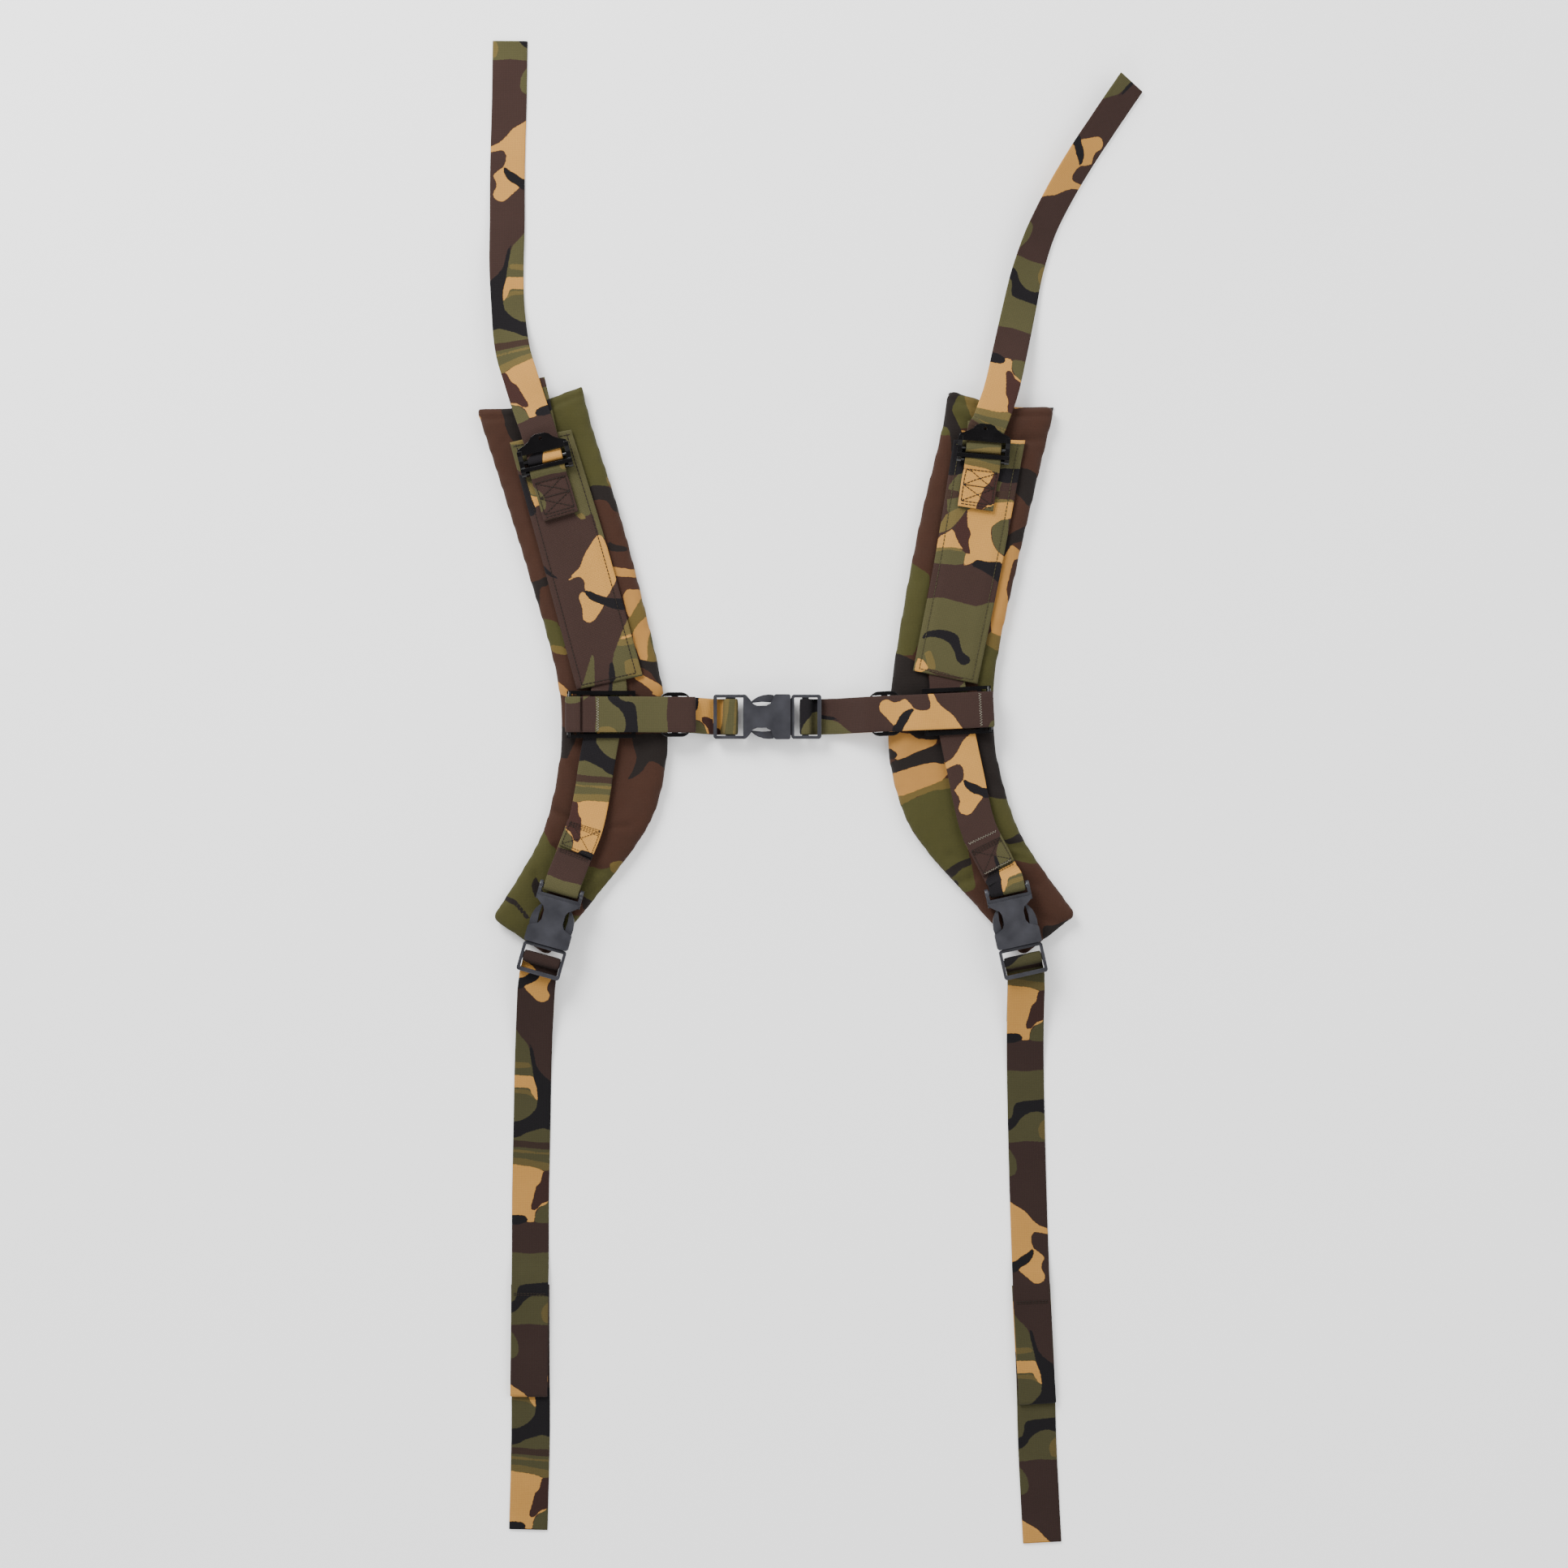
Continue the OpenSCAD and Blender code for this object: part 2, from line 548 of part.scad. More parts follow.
module right_sternum_strap() color(brown) {
    bar = [chest_at[0] + male_bar_u, chest_at[1]];
    hoop = hoop_stations(bar, chest_buckle_z, 0, adjuster_hoop(2.4));
    webbing(concat(free_stations(right_chest_tail, 2, -1), backwards(hoop),
        free_stations(right_chest_strap),
        hoop_stations(slider_bar(RIGHT), slider_bar_z, slider_turn[RIGHT], slider_hoop)));
}

back_cover(LEFT);  // left_back_cover
foam_core(LEFT);  // left_foam_core
front_cover(LEFT);  // left_front_cover
wide_panel(LEFT);  // left_wide_panel
centre_webbing(LEFT);  // left_centre_webbing
buckle_keeper(LEFT);  // left_buckle_keeper
lock_tab(LEFT);  // left_lock_tab
ladder_lock(LEFT);  // left_ladder_lock
lock_wrap(LEFT);  // left_lock_wrap
top_strap(LEFT);  // left_top_strap
lower_female(LEFT);  // left_lower_female
lower_male(LEFT);  // left_lower_male
outer_prong(LEFT);  // left_outer_prong
inner_prong(LEFT);  // left_inner_prong
lower_strap(LEFT);  // left_lower_strap
strap_extension(LEFT);  // left_strap_extension
sternum_slider(LEFT);  // left_sternum_slider
left_sternum_keeper();
left_sternum_strap();
left_sternum_loop();
tri_glide(LEFT);  // left_tri_glide
sternum_female();
sternum_male();
sternum_upper_prong();
sternum_lower_prong();
back_cover(RIGHT);  // right_back_cover
foam_core(RIGHT);  // right_foam_core
front_cover(RIGHT);  // right_front_cover
wide_panel(RIGHT);  // right_wide_panel
centre_webbing(RIGHT);  // right_centre_webbing
buckle_keeper(RIGHT);  // right_buckle_keeper
lock_tab(RIGHT);  // right_lock_tab
ladder_lock(RIGHT);  // right_ladder_lock
lock_wrap(RIGHT);  // right_lock_wrap
top_strap(RIGHT);  // right_top_strap
lower_female(RIGHT);  // right_lower_female
lower_male(RIGHT);  // right_lower_male
outer_prong(RIGHT);  // right_outer_prong
inner_prong(RIGHT);  // right_inner_prong
lower_strap(RIGHT);  // right_lower_strap
strap_extension(RIGHT);  // right_strap_extension
sternum_slider(RIGHT);  // right_sternum_slider
right_sternum_strap();
tri_glide(RIGHT);  // right_tri_glide
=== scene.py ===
import math

import bmesh
import bpy
import numpy as np
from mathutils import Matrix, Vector, noise


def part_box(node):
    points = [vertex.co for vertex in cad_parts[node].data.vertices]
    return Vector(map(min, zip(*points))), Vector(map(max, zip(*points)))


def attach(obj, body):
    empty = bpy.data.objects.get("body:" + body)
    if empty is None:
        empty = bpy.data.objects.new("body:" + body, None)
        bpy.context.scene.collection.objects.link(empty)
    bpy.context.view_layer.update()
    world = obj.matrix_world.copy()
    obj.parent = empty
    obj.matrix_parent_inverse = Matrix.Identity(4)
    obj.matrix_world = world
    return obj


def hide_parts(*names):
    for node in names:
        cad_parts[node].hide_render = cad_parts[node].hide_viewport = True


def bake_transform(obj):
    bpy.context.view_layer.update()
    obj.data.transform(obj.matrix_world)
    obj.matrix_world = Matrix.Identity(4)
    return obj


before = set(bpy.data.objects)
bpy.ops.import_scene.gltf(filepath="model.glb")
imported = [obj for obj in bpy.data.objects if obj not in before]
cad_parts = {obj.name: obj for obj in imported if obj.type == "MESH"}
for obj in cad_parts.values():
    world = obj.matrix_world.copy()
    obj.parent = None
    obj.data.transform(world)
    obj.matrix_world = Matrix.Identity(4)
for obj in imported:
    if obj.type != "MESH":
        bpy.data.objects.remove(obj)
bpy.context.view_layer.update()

MM = 0.001
LEFT, RIGHT = 0, 1
SIDES = ("left", "right")
GAP = 0.1
PAD_T = 12.0
WEB_T = 1.4
WEB_W = 25.0
LOW_WEB_W = 26.0
WEB_Z = PAD_T + GAP + WEB_T / 2
PANEL_Z = PAD_T + WEB_T + 2 * GAP
LIFTED_Z = PAD_T + 1.55 + WEB_T / 2
LOCK_Z = PANEL_Z + WEB_T + GAP + 3.3
LOW_BUCKLE_Z = PAD_T + 5
CHEST_BUCKLE_Z = 9.0
SLIDER_BAR_Z = PAD_T + 3.3
LOCK_BAR_R = 1.6

# ---- camera and light ----

PHOTO_CENTRE = (-18.2, 5.7)
FIELD = 1097.7
LENS, SENSOR = 85.0, 36.0
OBJECT_MIDDLE = 10
WORLD_LIGHT = 1.5
CEILING_FROM, CEILING_FULL = 0.62, 0.9
CEILING_TONE = 0.12


def add_camera():
    data = bpy.data.cameras.new("camera")
    data.lens = LENS
    data.sensor_width = SENSOR
    data.clip_end = 20
    camera = bpy.data.objects.new("camera", data)
    height = FIELD * LENS / SENSOR + OBJECT_MIDDLE
    camera.location = (PHOTO_CENTRE[0] * MM, PHOTO_CENTRE[1] * MM, height * MM)
    bpy.context.scene.collection.objects.link(camera)
    bpy.context.scene.camera = camera


def add_light(name, place, size, power, target=(0, 0, 0)):
    data = bpy.data.lights.new(name, "AREA")
    data.size = size
    data.energy = power
    lamp = bpy.data.objects.new(name, data)
    lamp.location = place
    lamp.rotation_euler = (Vector(target) - Vector(place)).to_track_quat("-Z", "Y").to_euler()
    bpy.context.scene.collection.objects.link(lamp)


add_camera()
add_light("key", (-1.1, 1.6, 1.5), 1.1, 92, (0, 0.1, 0))
add_light("fill", (1.5, 0.3, 1.9), 1.8, 30)
add_light("low", (-0.5, -1.7, 1.4), 1.2, 14)


def add_world():
    """A pale studio with a dark patch of ceiling, so that flat faces don't mirror white."""
    world = bpy.data.worlds.new("studio")
    world.use_nodes = True
    nodes, links = world.node_tree.nodes, world.node_tree.links
    heading = nodes.new("ShaderNodeTexCoord").outputs["Generated"]
    parts = nodes.new("ShaderNodeSeparateXYZ")
    links.new(heading, parts.inputs[0])
    ceiling = nodes.new("ShaderNodeMapRange")
    links.new(parts.outputs["Z"], ceiling.inputs["Value"])
    for key, value in (("From Min", CEILING_FROM), ("From Max", CEILING_FULL),
                       ("To Min", 1.0), ("To Max", CEILING_TONE)):
        ceiling.inputs[key].default_value = value
    links.new(ceiling.outputs[0], nodes["Background"].inputs["Color"])
    nodes["Background"].inputs["Strength"].default_value = WORLD_LIGHT
    bpy.context.scene.world = world


add_world()


# ---- small mathematics ----

def unit(v):
    v = np.asarray(v, float)
    return v / np.linalg.norm(v)


def along(degrees):
    return np.array([math.cos(math.radians(degrees)), math.sin(math.radians(degrees)), 0.0])


def across(degrees):
    return along(degrees + 90)


def smooth(points, steps, closed=False):
    """A Catmull-Rom curve through the points."""
    p = np.asarray(points, float)
    count = len(p)
    spans = count if closed else count - 1
    out = []
    for i in range(spans):
        if closed:
            a, b, c, d = (p[(i + k) % count] for k in (-1, 0, 1, 2))
        else:
            a, b, c, d = p[max(i - 1, 0)], p[i], p[i + 1], p[min(i + 2, count - 1)]
        for k in range(steps):
            t = k / steps
            out.append((2 * b + (c - a) * t + (2 * a - 5 * b + 4 * c - d) * t * t
                        + (3 * b - a - 3 * c + d) * t ** 3) / 2)
    if not closed:
        out.append(p[-1])
    return np.array(out)


def free_stations(route, facing=1):
    """(place, side) pairs along a route of [x, y, z, roll]."""
    q = smooth(route, 3)
    out = []
    for i in range(len(q)):
        a, b = q[max(i - 1, 0)], q[min(i + 1, len(q) - 1)]
        side = facing * unit([a[1] - b[1], b[0] - a[0], 0])
        roll = math.radians(q[i][3])
        out.append((q[i][:3], side * math.cos(roll) + np.array([0, 0, math.sin(roll)])))
    return out


def hoop_stations(at, z, heading, profile):
    """Stations in an upright plane: the profile is [distance along the heading, height]."""
    base = np.array([at[0], at[1], z], float)
    return [(base + along(heading) * p[0] + np.array([0, 0, p[1]]), across(heading))
            for p in smooth(profile, 2)]


def round_bend(radius, first, last, step, shift=0.0):
    sign = 1 if last > first else -1
    return [[shift + radius * math.cos(math.radians(a)), radius * math.sin(math.radians(a))]
            for a in range(first, last + sign, sign * step)]


def heading_at(at, heading, distance):
    return np.array(at, float) + along(heading)[:2] * distance


def segment_distance(points, a, b):
    ab = b - a
    t = np.clip(((points - a) @ ab) / max(ab @ ab, 1e-9), 0, 1)
    return np.linalg.norm(points - (a + t[:, None] * ab), axis=1)


def outline_distance(points, outline):
    """Signed distance to a closed outline, negative inside."""
    best = np.full(len(points), 1e9)
    inside = np.zeros(len(points), bool)
    x, y = points[:, 0], points[:, 1]
    for i in range(len(outline)):
        a, b = outline[i - 1], outline[i]
        best = np.minimum(best, segment_distance(points, a, b))
        crosses = (a[1] > y) != (b[1] > y)
        rise = b[1] - a[1] if abs(b[1] - a[1]) > 1e-9 else 1e-9
        inside ^= crosses & (x < (b[0] - a[0]) * (y - a[1]) / rise + a[0])
    return np.where(inside, -best, best)


def blob_outline(shape):
    """The outline through a blob's points: half a smooth curve, half straight lines."""
    p = np.asarray(shape, float)
    straight = [p[i] + (p[(i + 1) % len(p)] - p[i]) * k / 4 for i in range(len(p))
                for k in range(4)]
    return (smooth(p, 4, closed=True) + np.array(straight)) / 2


BLOB_REACH = 8.0


def nearest(points, shapes):
    """The least signed distance to any of the blobs, kept within the reach."""
    best = np.full(len(points), BLOB_REACH)
    for shape in shapes:
        curve = blob_outline(shape)
        low, high = curve.min(0) - BLOB_REACH, curve.max(0) + BLOB_REACH
        near = ((points > low) & (points < high)).all(1)
        if near.any():
            best[near] = np.minimum(best[near], outline_distance(points[near], curve))
    return np.clip(best, -BLOB_REACH, BLOB_REACH)


# ---- printed pattern of the webbing: blobs as (distance along, distance across) ----

PRINT_LENGTH = 327.7
PRINT_LAYERS = ("olive", "stripe", "tan", "spot", "black", "moss")
WEB_PRINT = {
    "olive": [
        [(-36, -16), (-36, 0), (-36, 16), (-10, 16), (13, 16), (13, 0), (13, -16), (-10, -16)],
        [(18, -14), (21, -10.5), (26, -8), (32, -7.4), (36, -9), (37, -14)],
        [(134, -15), (139, -9), (144, -4.5), (150, -2), (158, 0), (170, 2), (185, 5), (200, 4), (203, 16),
         (234, 16), (231.5, 6), (230, 0), (229.5, -16), (180, -17)],
        [(253, 14), (257.5, 8.3), (262, 4.6), (266, 3.1), (269.6, 3.3), (269.8, 14)],
    ],
    "stripe": [
        [(213.6, 16), (213.4, 4), (212.6, -6), (212.4, -16), (216.8, -16), (217.2, -6), (218, 4),
         (218.2, 16)],
    ],
    "tan": [
        [(55, -15), (57.5, -10), (62, -3), (68.5, 2.5), (72.5, 7), (75.5, 14), (79, 14), (77.4, 7),
         (77.2, 3.2), (80, 1.2), (85, 1.3), (89, 3), (91.5, 6.6), (95, 9.9), (99, 8), (103, 7.6),
         (107.5, 9.8), (111, 9), (113.2, 5.5), (112.5, 1.6), (108, -3.4), (103.5, -8.4), (101, -8),
         (100, -15), (75, -17)],
        [(166.8, -15), (166.8, -6), (167.2, 0), (172, 1.8), (178, 4.2), (184, 4.2), (183, 2.2),
         (179, -0.6), (175.3, -2.5), (174.8, -15)],
        [(229.6, -16), (230, -6), (231, 2), (233, 8), (236, 13), (246, 15), (256, 12), (259, 6),
         (263, 3.4), (269, 2.6), (269.4, -2), (266, -6), (267, -16), (248, -18)],
    ],
    "spot": [
        [(234, 15), (233.6, 9), (237, 7.8), (241, 7), (244.5, 4), (249, 2.8), (254, 1.6), (258.5, 0.3),
         (261.2, 1), (260.8, 4.2), (256.5, 8), (253, 15)],
    ],
    "black": [
        [(88.2, 2.6), (92.5, 2.5), (96.4, 0.6), (99.6, -2.8), (101.6, -6.6), (104.5, -10), (104.5, -14),
         (98.5, -14), (96.4, -9.4), (93.6, -6), (91.6, -2)],
        [(143.2, -3), (148, -0.4), (154, 0.9), (160, 2.6), (164.5, 5.8), (168, 9.6), (172, 14), (188, 16),
         (204.4, 15), (203.4, 8), (205, 2), (207, -4), (209.6, -8.5), (210.5, -15), (200, -15),
         (198.4, -8), (195, -2), (190, 2.6), (184, 3.6), (176, 3), (168, 0.6), (160, -0.6), (152, -2.2)],
        [(265, -4), (267.4, -1.8), (269.5, -3), (271.2, -8), (271, -15), (265, -15), (264.4, -9)],
        [(-15.8, 15), (-15.4, 4), (-14.9, -2), (-13.8, -7), (-11, -8.6), (-7, -9.2), (-3.5, -10.6),
         (-1, -15), (5.5, -15), (4.6, -10.5), (2, -7.5), (-2.2, -4.6), (-5.2, -1), (-7, 3), (-7.6, 8),
         (-6, 15)],
    ],
    "moss": [
        [(157.5, -15), (157.5, -4), (158.5, -2), (161, -2), (161.6, -15)],
        [(176.4, -14), (176.6, -3), (180, 0.4), (183.5, 2.6), (180, -3), (178.6, -14)],
        [(218.6, -16), (219.2, -4), (220.2, 4), (220.6, 16), (222, 16), (221.4, 2), (220.4, -16)],
        [(224.6, -16), (225, -5), (226.6, 4), (228.8, 16), (235, 16), (231.6, 4), (230.2, -4),
         (229.8, -16)],
        [(-2.2, 14), (0.8, 9.8), (5, 8.2), (11, 9.4), (12, 14)],
    ],
}


def webbing_print(down, side):
    """Signed distances to each colour's blobs, at places along and across the webbing."""
    where = np.stack([down % PRINT_LENGTH, side], axis=1)
    before = where - [PRINT_LENGTH, 0]
    return [np.minimum(nearest(where, WEB_PRINT[layer]), nearest(before, WEB_PRINT[layer]))
            for layer in PRINT_LAYERS]


# ---- materials ----

def srgb(red, green, blue):
    def linear(c):
        c /= 255
        return c / 12.92 if c <= 0.04045 else ((c + 0.055) / 1.055) ** 2.4
    return (linear(red), linear(green), linear(blue), 1.0)


def tinted(colour, amount):
    return srgb(*(min(255, c * amount) for c in colour))


class Tree:
    """A short way to write a material's nodes."""

    def __init__(self, name):
        self.material = bpy.data.materials.new(name)
        self.material.use_nodes = True
        self.nodes = self.material.node_tree.nodes
        self.links = self.material.node_tree.links
        self.shader = self.nodes["Principled BSDF"]

    def put(self, socket, value):
        if isinstance(value, bpy.types.NodeSocket):
            self.links.new(value, socket)
        elif value is not None:
            socket.default_value = value

    def node(self, kind, inputs=None, **settings):
        made = self.nodes.new("ShaderNode" + kind)
        for key, value in settings.items():
            setattr(made, key, value)
        for key, value in (inputs or {}).items():
            self.put(made.inputs[key], value)
        return made

    def math(self, operation, a, b=None, c=None):
        made = self.node("Math", operation=operation)
        for socket, value in zip(made.inputs, (a, b, c)):
            self.put(socket, value)
        return made.outputs[0]

    def mix(self, share, a, b, blend="MIX"):
        made = self.node("Mix", data_type="RGBA", blend_type=blend)
        self.put(made.inputs[0], share)
        self.put(made.inputs[6], a)
        self.put(made.inputs[7], b)
        return made.outputs[2]

    def ramp(self, value, low, high, out_low=0.0, out_high=1.0):
        made = self.node("MapRange")
        for key, number in zip(range(5), (value, low, high, out_low, out_high)):
            self.put(made.inputs[key], number)
        return made.outputs[0]

    def spread(self, value, low=0.0, high=1.0):
        """A noise's middle range, stretched between two values."""
        return self.ramp(value, 0.3, 0.7, low, high)

    def noise(self, scale, detail=2.0, where=None, roughness=0.5):
        made = self.node("TexNoise", {"Scale": scale, "Detail": detail,
                                      "Roughness": roughness, "Vector": where})
        return made.outputs["Fac"]

    def attribute(self, name):
        made = self.node("Attribute", attribute_name=name)
        parts = self.node("SeparateXYZ", {"Vector": made.outputs["Vector"]})
        return parts.outputs

    def object_place(self):
        return self.node("TexCoord").outputs["Object"]

    def wave(self, coordinate, pitch):
        """A rib profile from 0 to 1 that repeats every pitch, in metres."""
        turned = self.math("MULTIPLY", coordinate, 2 * math.pi / pitch)
        return self.math("MULTIPLY_ADD", self.math("SINE", turned), 0.5, 0.5)

    def uneven(self, fuzz, amount, base):
        """A shade that a noise moves by the amount, on top of the base."""
        return self.math("MULTIPLY_ADD", fuzz, amount, base)

    def shaded(self, colour, shade):
        grey = self.node("CombineXYZ", {"X": shade, "Y": shade, "Z": shade}).outputs[0]
        return self.mix(1.0, colour, grey, "MULTIPLY")

    def bump(self, height, strength, distance):
        made = self.node("Bump", {"Height": height, "Strength": strength,
                                  "Distance": distance})
        self.put(self.shader.inputs["Normal"], made.outputs["Normal"])

    def finish(self, colour, roughness, sheen=0.0, specular=0.3):
        self.put(self.shader.inputs["Base Color"], colour)
        self.put(self.shader.inputs["Roughness"], roughness)
        self.shader.inputs["Sheen Weight"].default_value = sheen
        self.shader.inputs["Sheen Roughness"].default_value = 0.6
        self.shader.inputs["Specular IOR Level"].default_value = specular
        return self.material


PRINT_EDGE = 0.18


def printed(tree, colours, base, layers, wobble):
    """Lays each colour's blobs over the base; the wobble, in mm, makes their edges ragged."""
    colour = colours[base]
    for layer, distance in layers:
        inside = tree.ramp(tree.math("ADD", distance, wobble), -PRINT_EDGE, PRINT_EDGE, 1.0, 0.0)
        colour = tree.mix(inside, colour, colours[layer])
    return colour


RIB_PITCH = 0.00105
PICK_PITCH = 0.0009
WEB_COLOURS = {
    "base": (49, 35, 31), "olive": (66, 63, 40), "stripe": (50, 37, 30),
    "tan": (165, 120, 59), "spot": (51, 32, 28), "black": (21, 19, 21),
    "moss": (88, 76, 43),
}


def webbing_material(name, tone=1.0):
    """Printed nylon webbing: lengthwise ribs, crosswise picks, and the printed pattern. A tone below 1
    darkens it as painted shade, tan by half as much.
    """
    tree = Tree(name)
    place = tree.node("UVMap", uv_map="strap").outputs["UV"]
    parts = tree.node("SeparateXYZ", {"Vector": place}).outputs
    ribs = tree.wave(parts["X"], RIB_PITCH)
    picks = tree.wave(parts["Y"], PICK_PITCH)
    weave = tree.math("MULTIPLY_ADD", picks, 0.55, tree.math("MULTIPLY", ribs, 0.45))
    fuzz = tree.noise(900, 3, place)
    ragged = tree.noise(620, 2, place)
    wobble = tree.math("MULTIPLY_ADD", ragged, 1.1, -0.55)
    first, second = tree.attribute("print_a"), tree.attribute("print_b")
    # a tone below 1 is painted shade: it darkens every colour, tan by half as much
    colours = {key: srgb(*(c * ((1 + tone) / 2 if key == "tan" else tone) for c in value))
               for key, value in WEB_COLOURS.items()}
    colour = printed(tree, colours, "base", (
        ("olive", first[0]), ("moss", second[2]), ("stripe", first[1]), ("tan", first[2]),
        ("spot", second[0]), ("black", second[1])), wobble)
    worn = tree.noise(28, 4, place)
    shade = tree.uneven(weave, 0.26, 0.63)
    shade = tree.uneven(fuzz, 0.22, shade)
    shade = tree.uneven(worn, 0.22, shade)
    tree.bump(tree.uneven(fuzz, 0.35, weave), 0.55, 0.00025)
    return tree.finish(tree.shaded(colour, shade), tree.spread(fuzz, 0.72, 0.9), sheen=0.03,
                       specular=0.06)


PAD_YARN_PITCH = 0.0008
PAD_COLOURS = {
    "base": (51, 31, 22), "green": (55, 53, 25), "ochre": (82, 68, 33),
    "tan": (146, 104, 51), "spot": (48, 30, 22), "black": (25, 20, 18),
}


def pad_material(name):
    """Printed pack cloth: a fine plain weave with crease relief, rubbed, and painted shade in the crease
    hollows.
    """
    tree = Tree(name)
    place = tree.object_place()
    parts = tree.node("SeparateXYZ", {"Vector": place}).outputs
    yarn = tree.math("MULTIPLY", tree.wave(parts["X"], PAD_YARN_PITCH),
                     tree.wave(parts["Y"], PAD_YARN_PITCH))
    fuzz = tree.noise(1400, 2, place)
    ragged = tree.noise(420, 3, place)
    wobble = tree.math("MULTIPLY_ADD", ragged, 1.3, -0.65)
    first, second = tree.attribute("print_a"), tree.attribute("print_b")
    colours = {key: srgb(*value) for key, value in PAD_COLOURS.items()}
    colour = printed(tree, colours, "base", (
        ("green", first[0]), ("ochre", first[1]), ("tan", first[2]), ("spot", second[0]),
        ("black", second[1])), wobble)
    rubbed = tree.noise(22, 5, place)
    crease_relief_and_shade = tree.noise(75, 4, place, 0.6)
    shade = tree.uneven(rubbed, 0.26, 0.77)
    # painted shade: the cloth darkens where the crease relief of the bump is low
    shade = tree.uneven(crease_relief_and_shade, 0.14, shade)
    shade = tree.uneven(yarn, 0.12, shade)
    tree.bump(tree.uneven(fuzz, 0.3, tree.uneven(crease_relief_and_shade, 2.2, yarn)), 0.35, 0.00035)
    return tree.finish(tree.shaded(colour, shade), tree.spread(crease_relief_and_shade, 0.62, 0.82), sheen=0.04,
                       specular=0.07)


def cloth_material(name, colour, weave_pitch):
    """Plain woven cloth in one dyed colour."""
    tree = Tree(name)
    place = tree.object_place()
    parts = tree.node("SeparateXYZ", {"Vector": place}).outputs
    yarn = tree.math("MULTIPLY", tree.wave(parts["X"], weave_pitch),
                     tree.wave(parts["Y"], weave_pitch))
    rubbed = tree.noise(35, 4, place)
    light = tinted(colour, 1.18)
    tone = tree.mix(tree.spread(rubbed), tinted(colour, 0.78), light)
    tone = tree.mix(tree.math("MULTIPLY", yarn, 0.35), tone, light)
    tree.bump(tree.uneven(rubbed, 0.8, yarn), 0.5, 0.0003)
    return tree.finish(tone, tree.spread(rubbed, 0.74, 0.9), sheen=0.04, specular=0.08)


def plastic_material(name, colour, low_rough, high_rough):
    """Moulded nylon: a faint grain and uneven gloss."""
    tree = Tree(name)
    place = tree.object_place()
    grain = tree.noise(2600, 2, place)
    flow = tree.noise(90, 3, place)
    tone = tree.mix(tree.spread(flow), tinted(colour, 0.88), tinted(colour, 1.1))
    tree.bump(tree.uneven(flow, 0.6, grain), 0.06, 0.00004)
    return tree.finish(tone, tree.spread(flow, low_rough, high_rough), specular=0.35)


def thread_material(name, colour):
    """Twisted sewing thread."""
    tree = Tree(name)
    place = tree.object_place()
    twist = tree.noise(1800, 3, place)
    tone = tree.mix(tree.spread(twist), tinted(colour, 0.75), tinted(colour, 1.15))
    tree.bump(twist, 0.4, 0.0001)
    return tree.finish(tone, tree.spread(twist, 0.55, 0.75), sheen=0.02, specular=0.1)


WEBBING = webbing_material("printed_webbing")
# the lower straps get a darker copy of the webbing: painted shade, for light that falls off towards the
# bottom
PAINTED_SHADE_LOW_WEBBING = webbing_material("printed_lower_webbing_painted_shade", 0.8)
PAD_CLOTH = pad_material("printed_pack_cloth")
BACKING = cloth_material("backing_cloth", (34, 28, 24), 0.0011)
LOCK_PLASTIC = plastic_material("lock_nylon", (6, 5, 6), 0.18, 0.24)
BUCKLE_PLASTIC = plastic_material("buckle_nylon", (41, 41, 46), 0.34, 0.44)
BROWN_THREAD = thread_material("brown_thread", (34, 27, 22))
PALE_THREAD = thread_material("pale_thread", (120, 116, 104))
OLIVE_THREAD = thread_material("olive_thread", (58, 54, 36))


# ---- meshes ----

def new_piece(name, points, faces, material, body):
    """A mesh in millimetres becomes a smooth-shaded piece, which rides on a body if one is named."""
    mesh = bpy.data.meshes.new(name)
    mesh.from_pydata((np.asarray(points) * MM).tolist(), [], faces)
    mesh.materials.append(material)
    mesh.polygons.foreach_set("use_smooth", [True] * len(mesh.polygons))
    mesh.update()
    piece = bpy.data.objects.new(name, mesh)
    bpy.context.scene.collection.objects.link(piece)
    if body:
        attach(piece, body)
    return piece


def tube_faces(rings, count, base=0, flip=False):
    """The quads between rings of count points each, numbered from base."""
    faces = []
    for r in range(rings - 1):
        for i in range(count):
            here, there = base + r * count, base + (r + 1) * count
            k = (i + 1) % count
            face = (here + i, here + k, there + k, there + i)
            faces.append((face[0], *face[:0:-1]) if flip else face)
    return faces


def set_print(mesh, layers):
    """Keeps six layers of signed distance with the points of a mesh."""
    for name, group in (("print_a", layers[:3]), ("print_b", layers[3:])):
        attribute = mesh.attributes.new(name, "FLOAT_VECTOR", "POINT")
        attribute.data.foreach_set("vector", np.stack(group, 1).astype(np.float32).ravel())


def set_strap_map(mesh, points_uv):
    """Place across and along the webbing, in metres, on every corner."""
    layer = mesh.uv_layers.new(name="strap")
    index = np.zeros(len(mesh.loops), np.int32)
    mesh.loops.foreach_get("vertex_index", index)
    layer.data.foreach_set("uv", (points_uv[index] * MM).astype(np.float32).ravel())


SHORTEST_STEP = 0.35
LONG_STEP = 2
UNEVEN = 3


def graded(stations):
    """Adds stations on a long span beside a short one, so that the curve can't swing wide."""
    out = [stations[0]]
    for station in stations[1:]:
        if np.linalg.norm(station[0] - out[-1][0]) > SHORTEST_STEP:
            out.append(station)
    i = 0
    while i < len(out) - 1:
        gap = np.linalg.norm(out[i + 1][0] - out[i][0])
        before = np.linalg.norm(out[i][0] - out[i - 1][0]) if i else gap
        after = np.linalg.norm(out[i + 2][0] - out[i + 1][0]) if i + 2 < len(out) else gap
        if gap > UNEVEN * before and gap > LONG_STEP:
            share = 2 * before / gap
        elif gap > UNEVEN * after and gap > LONG_STEP:
            share = 1 - 2 * after / gap
        else:
            i += 1
            continue
        out.insert(i + 1, tuple(out[i][k] * (1 - share) + out[i + 1][k] * share
                                for k in (0, 1)))
        i += share < 0.5
    return out


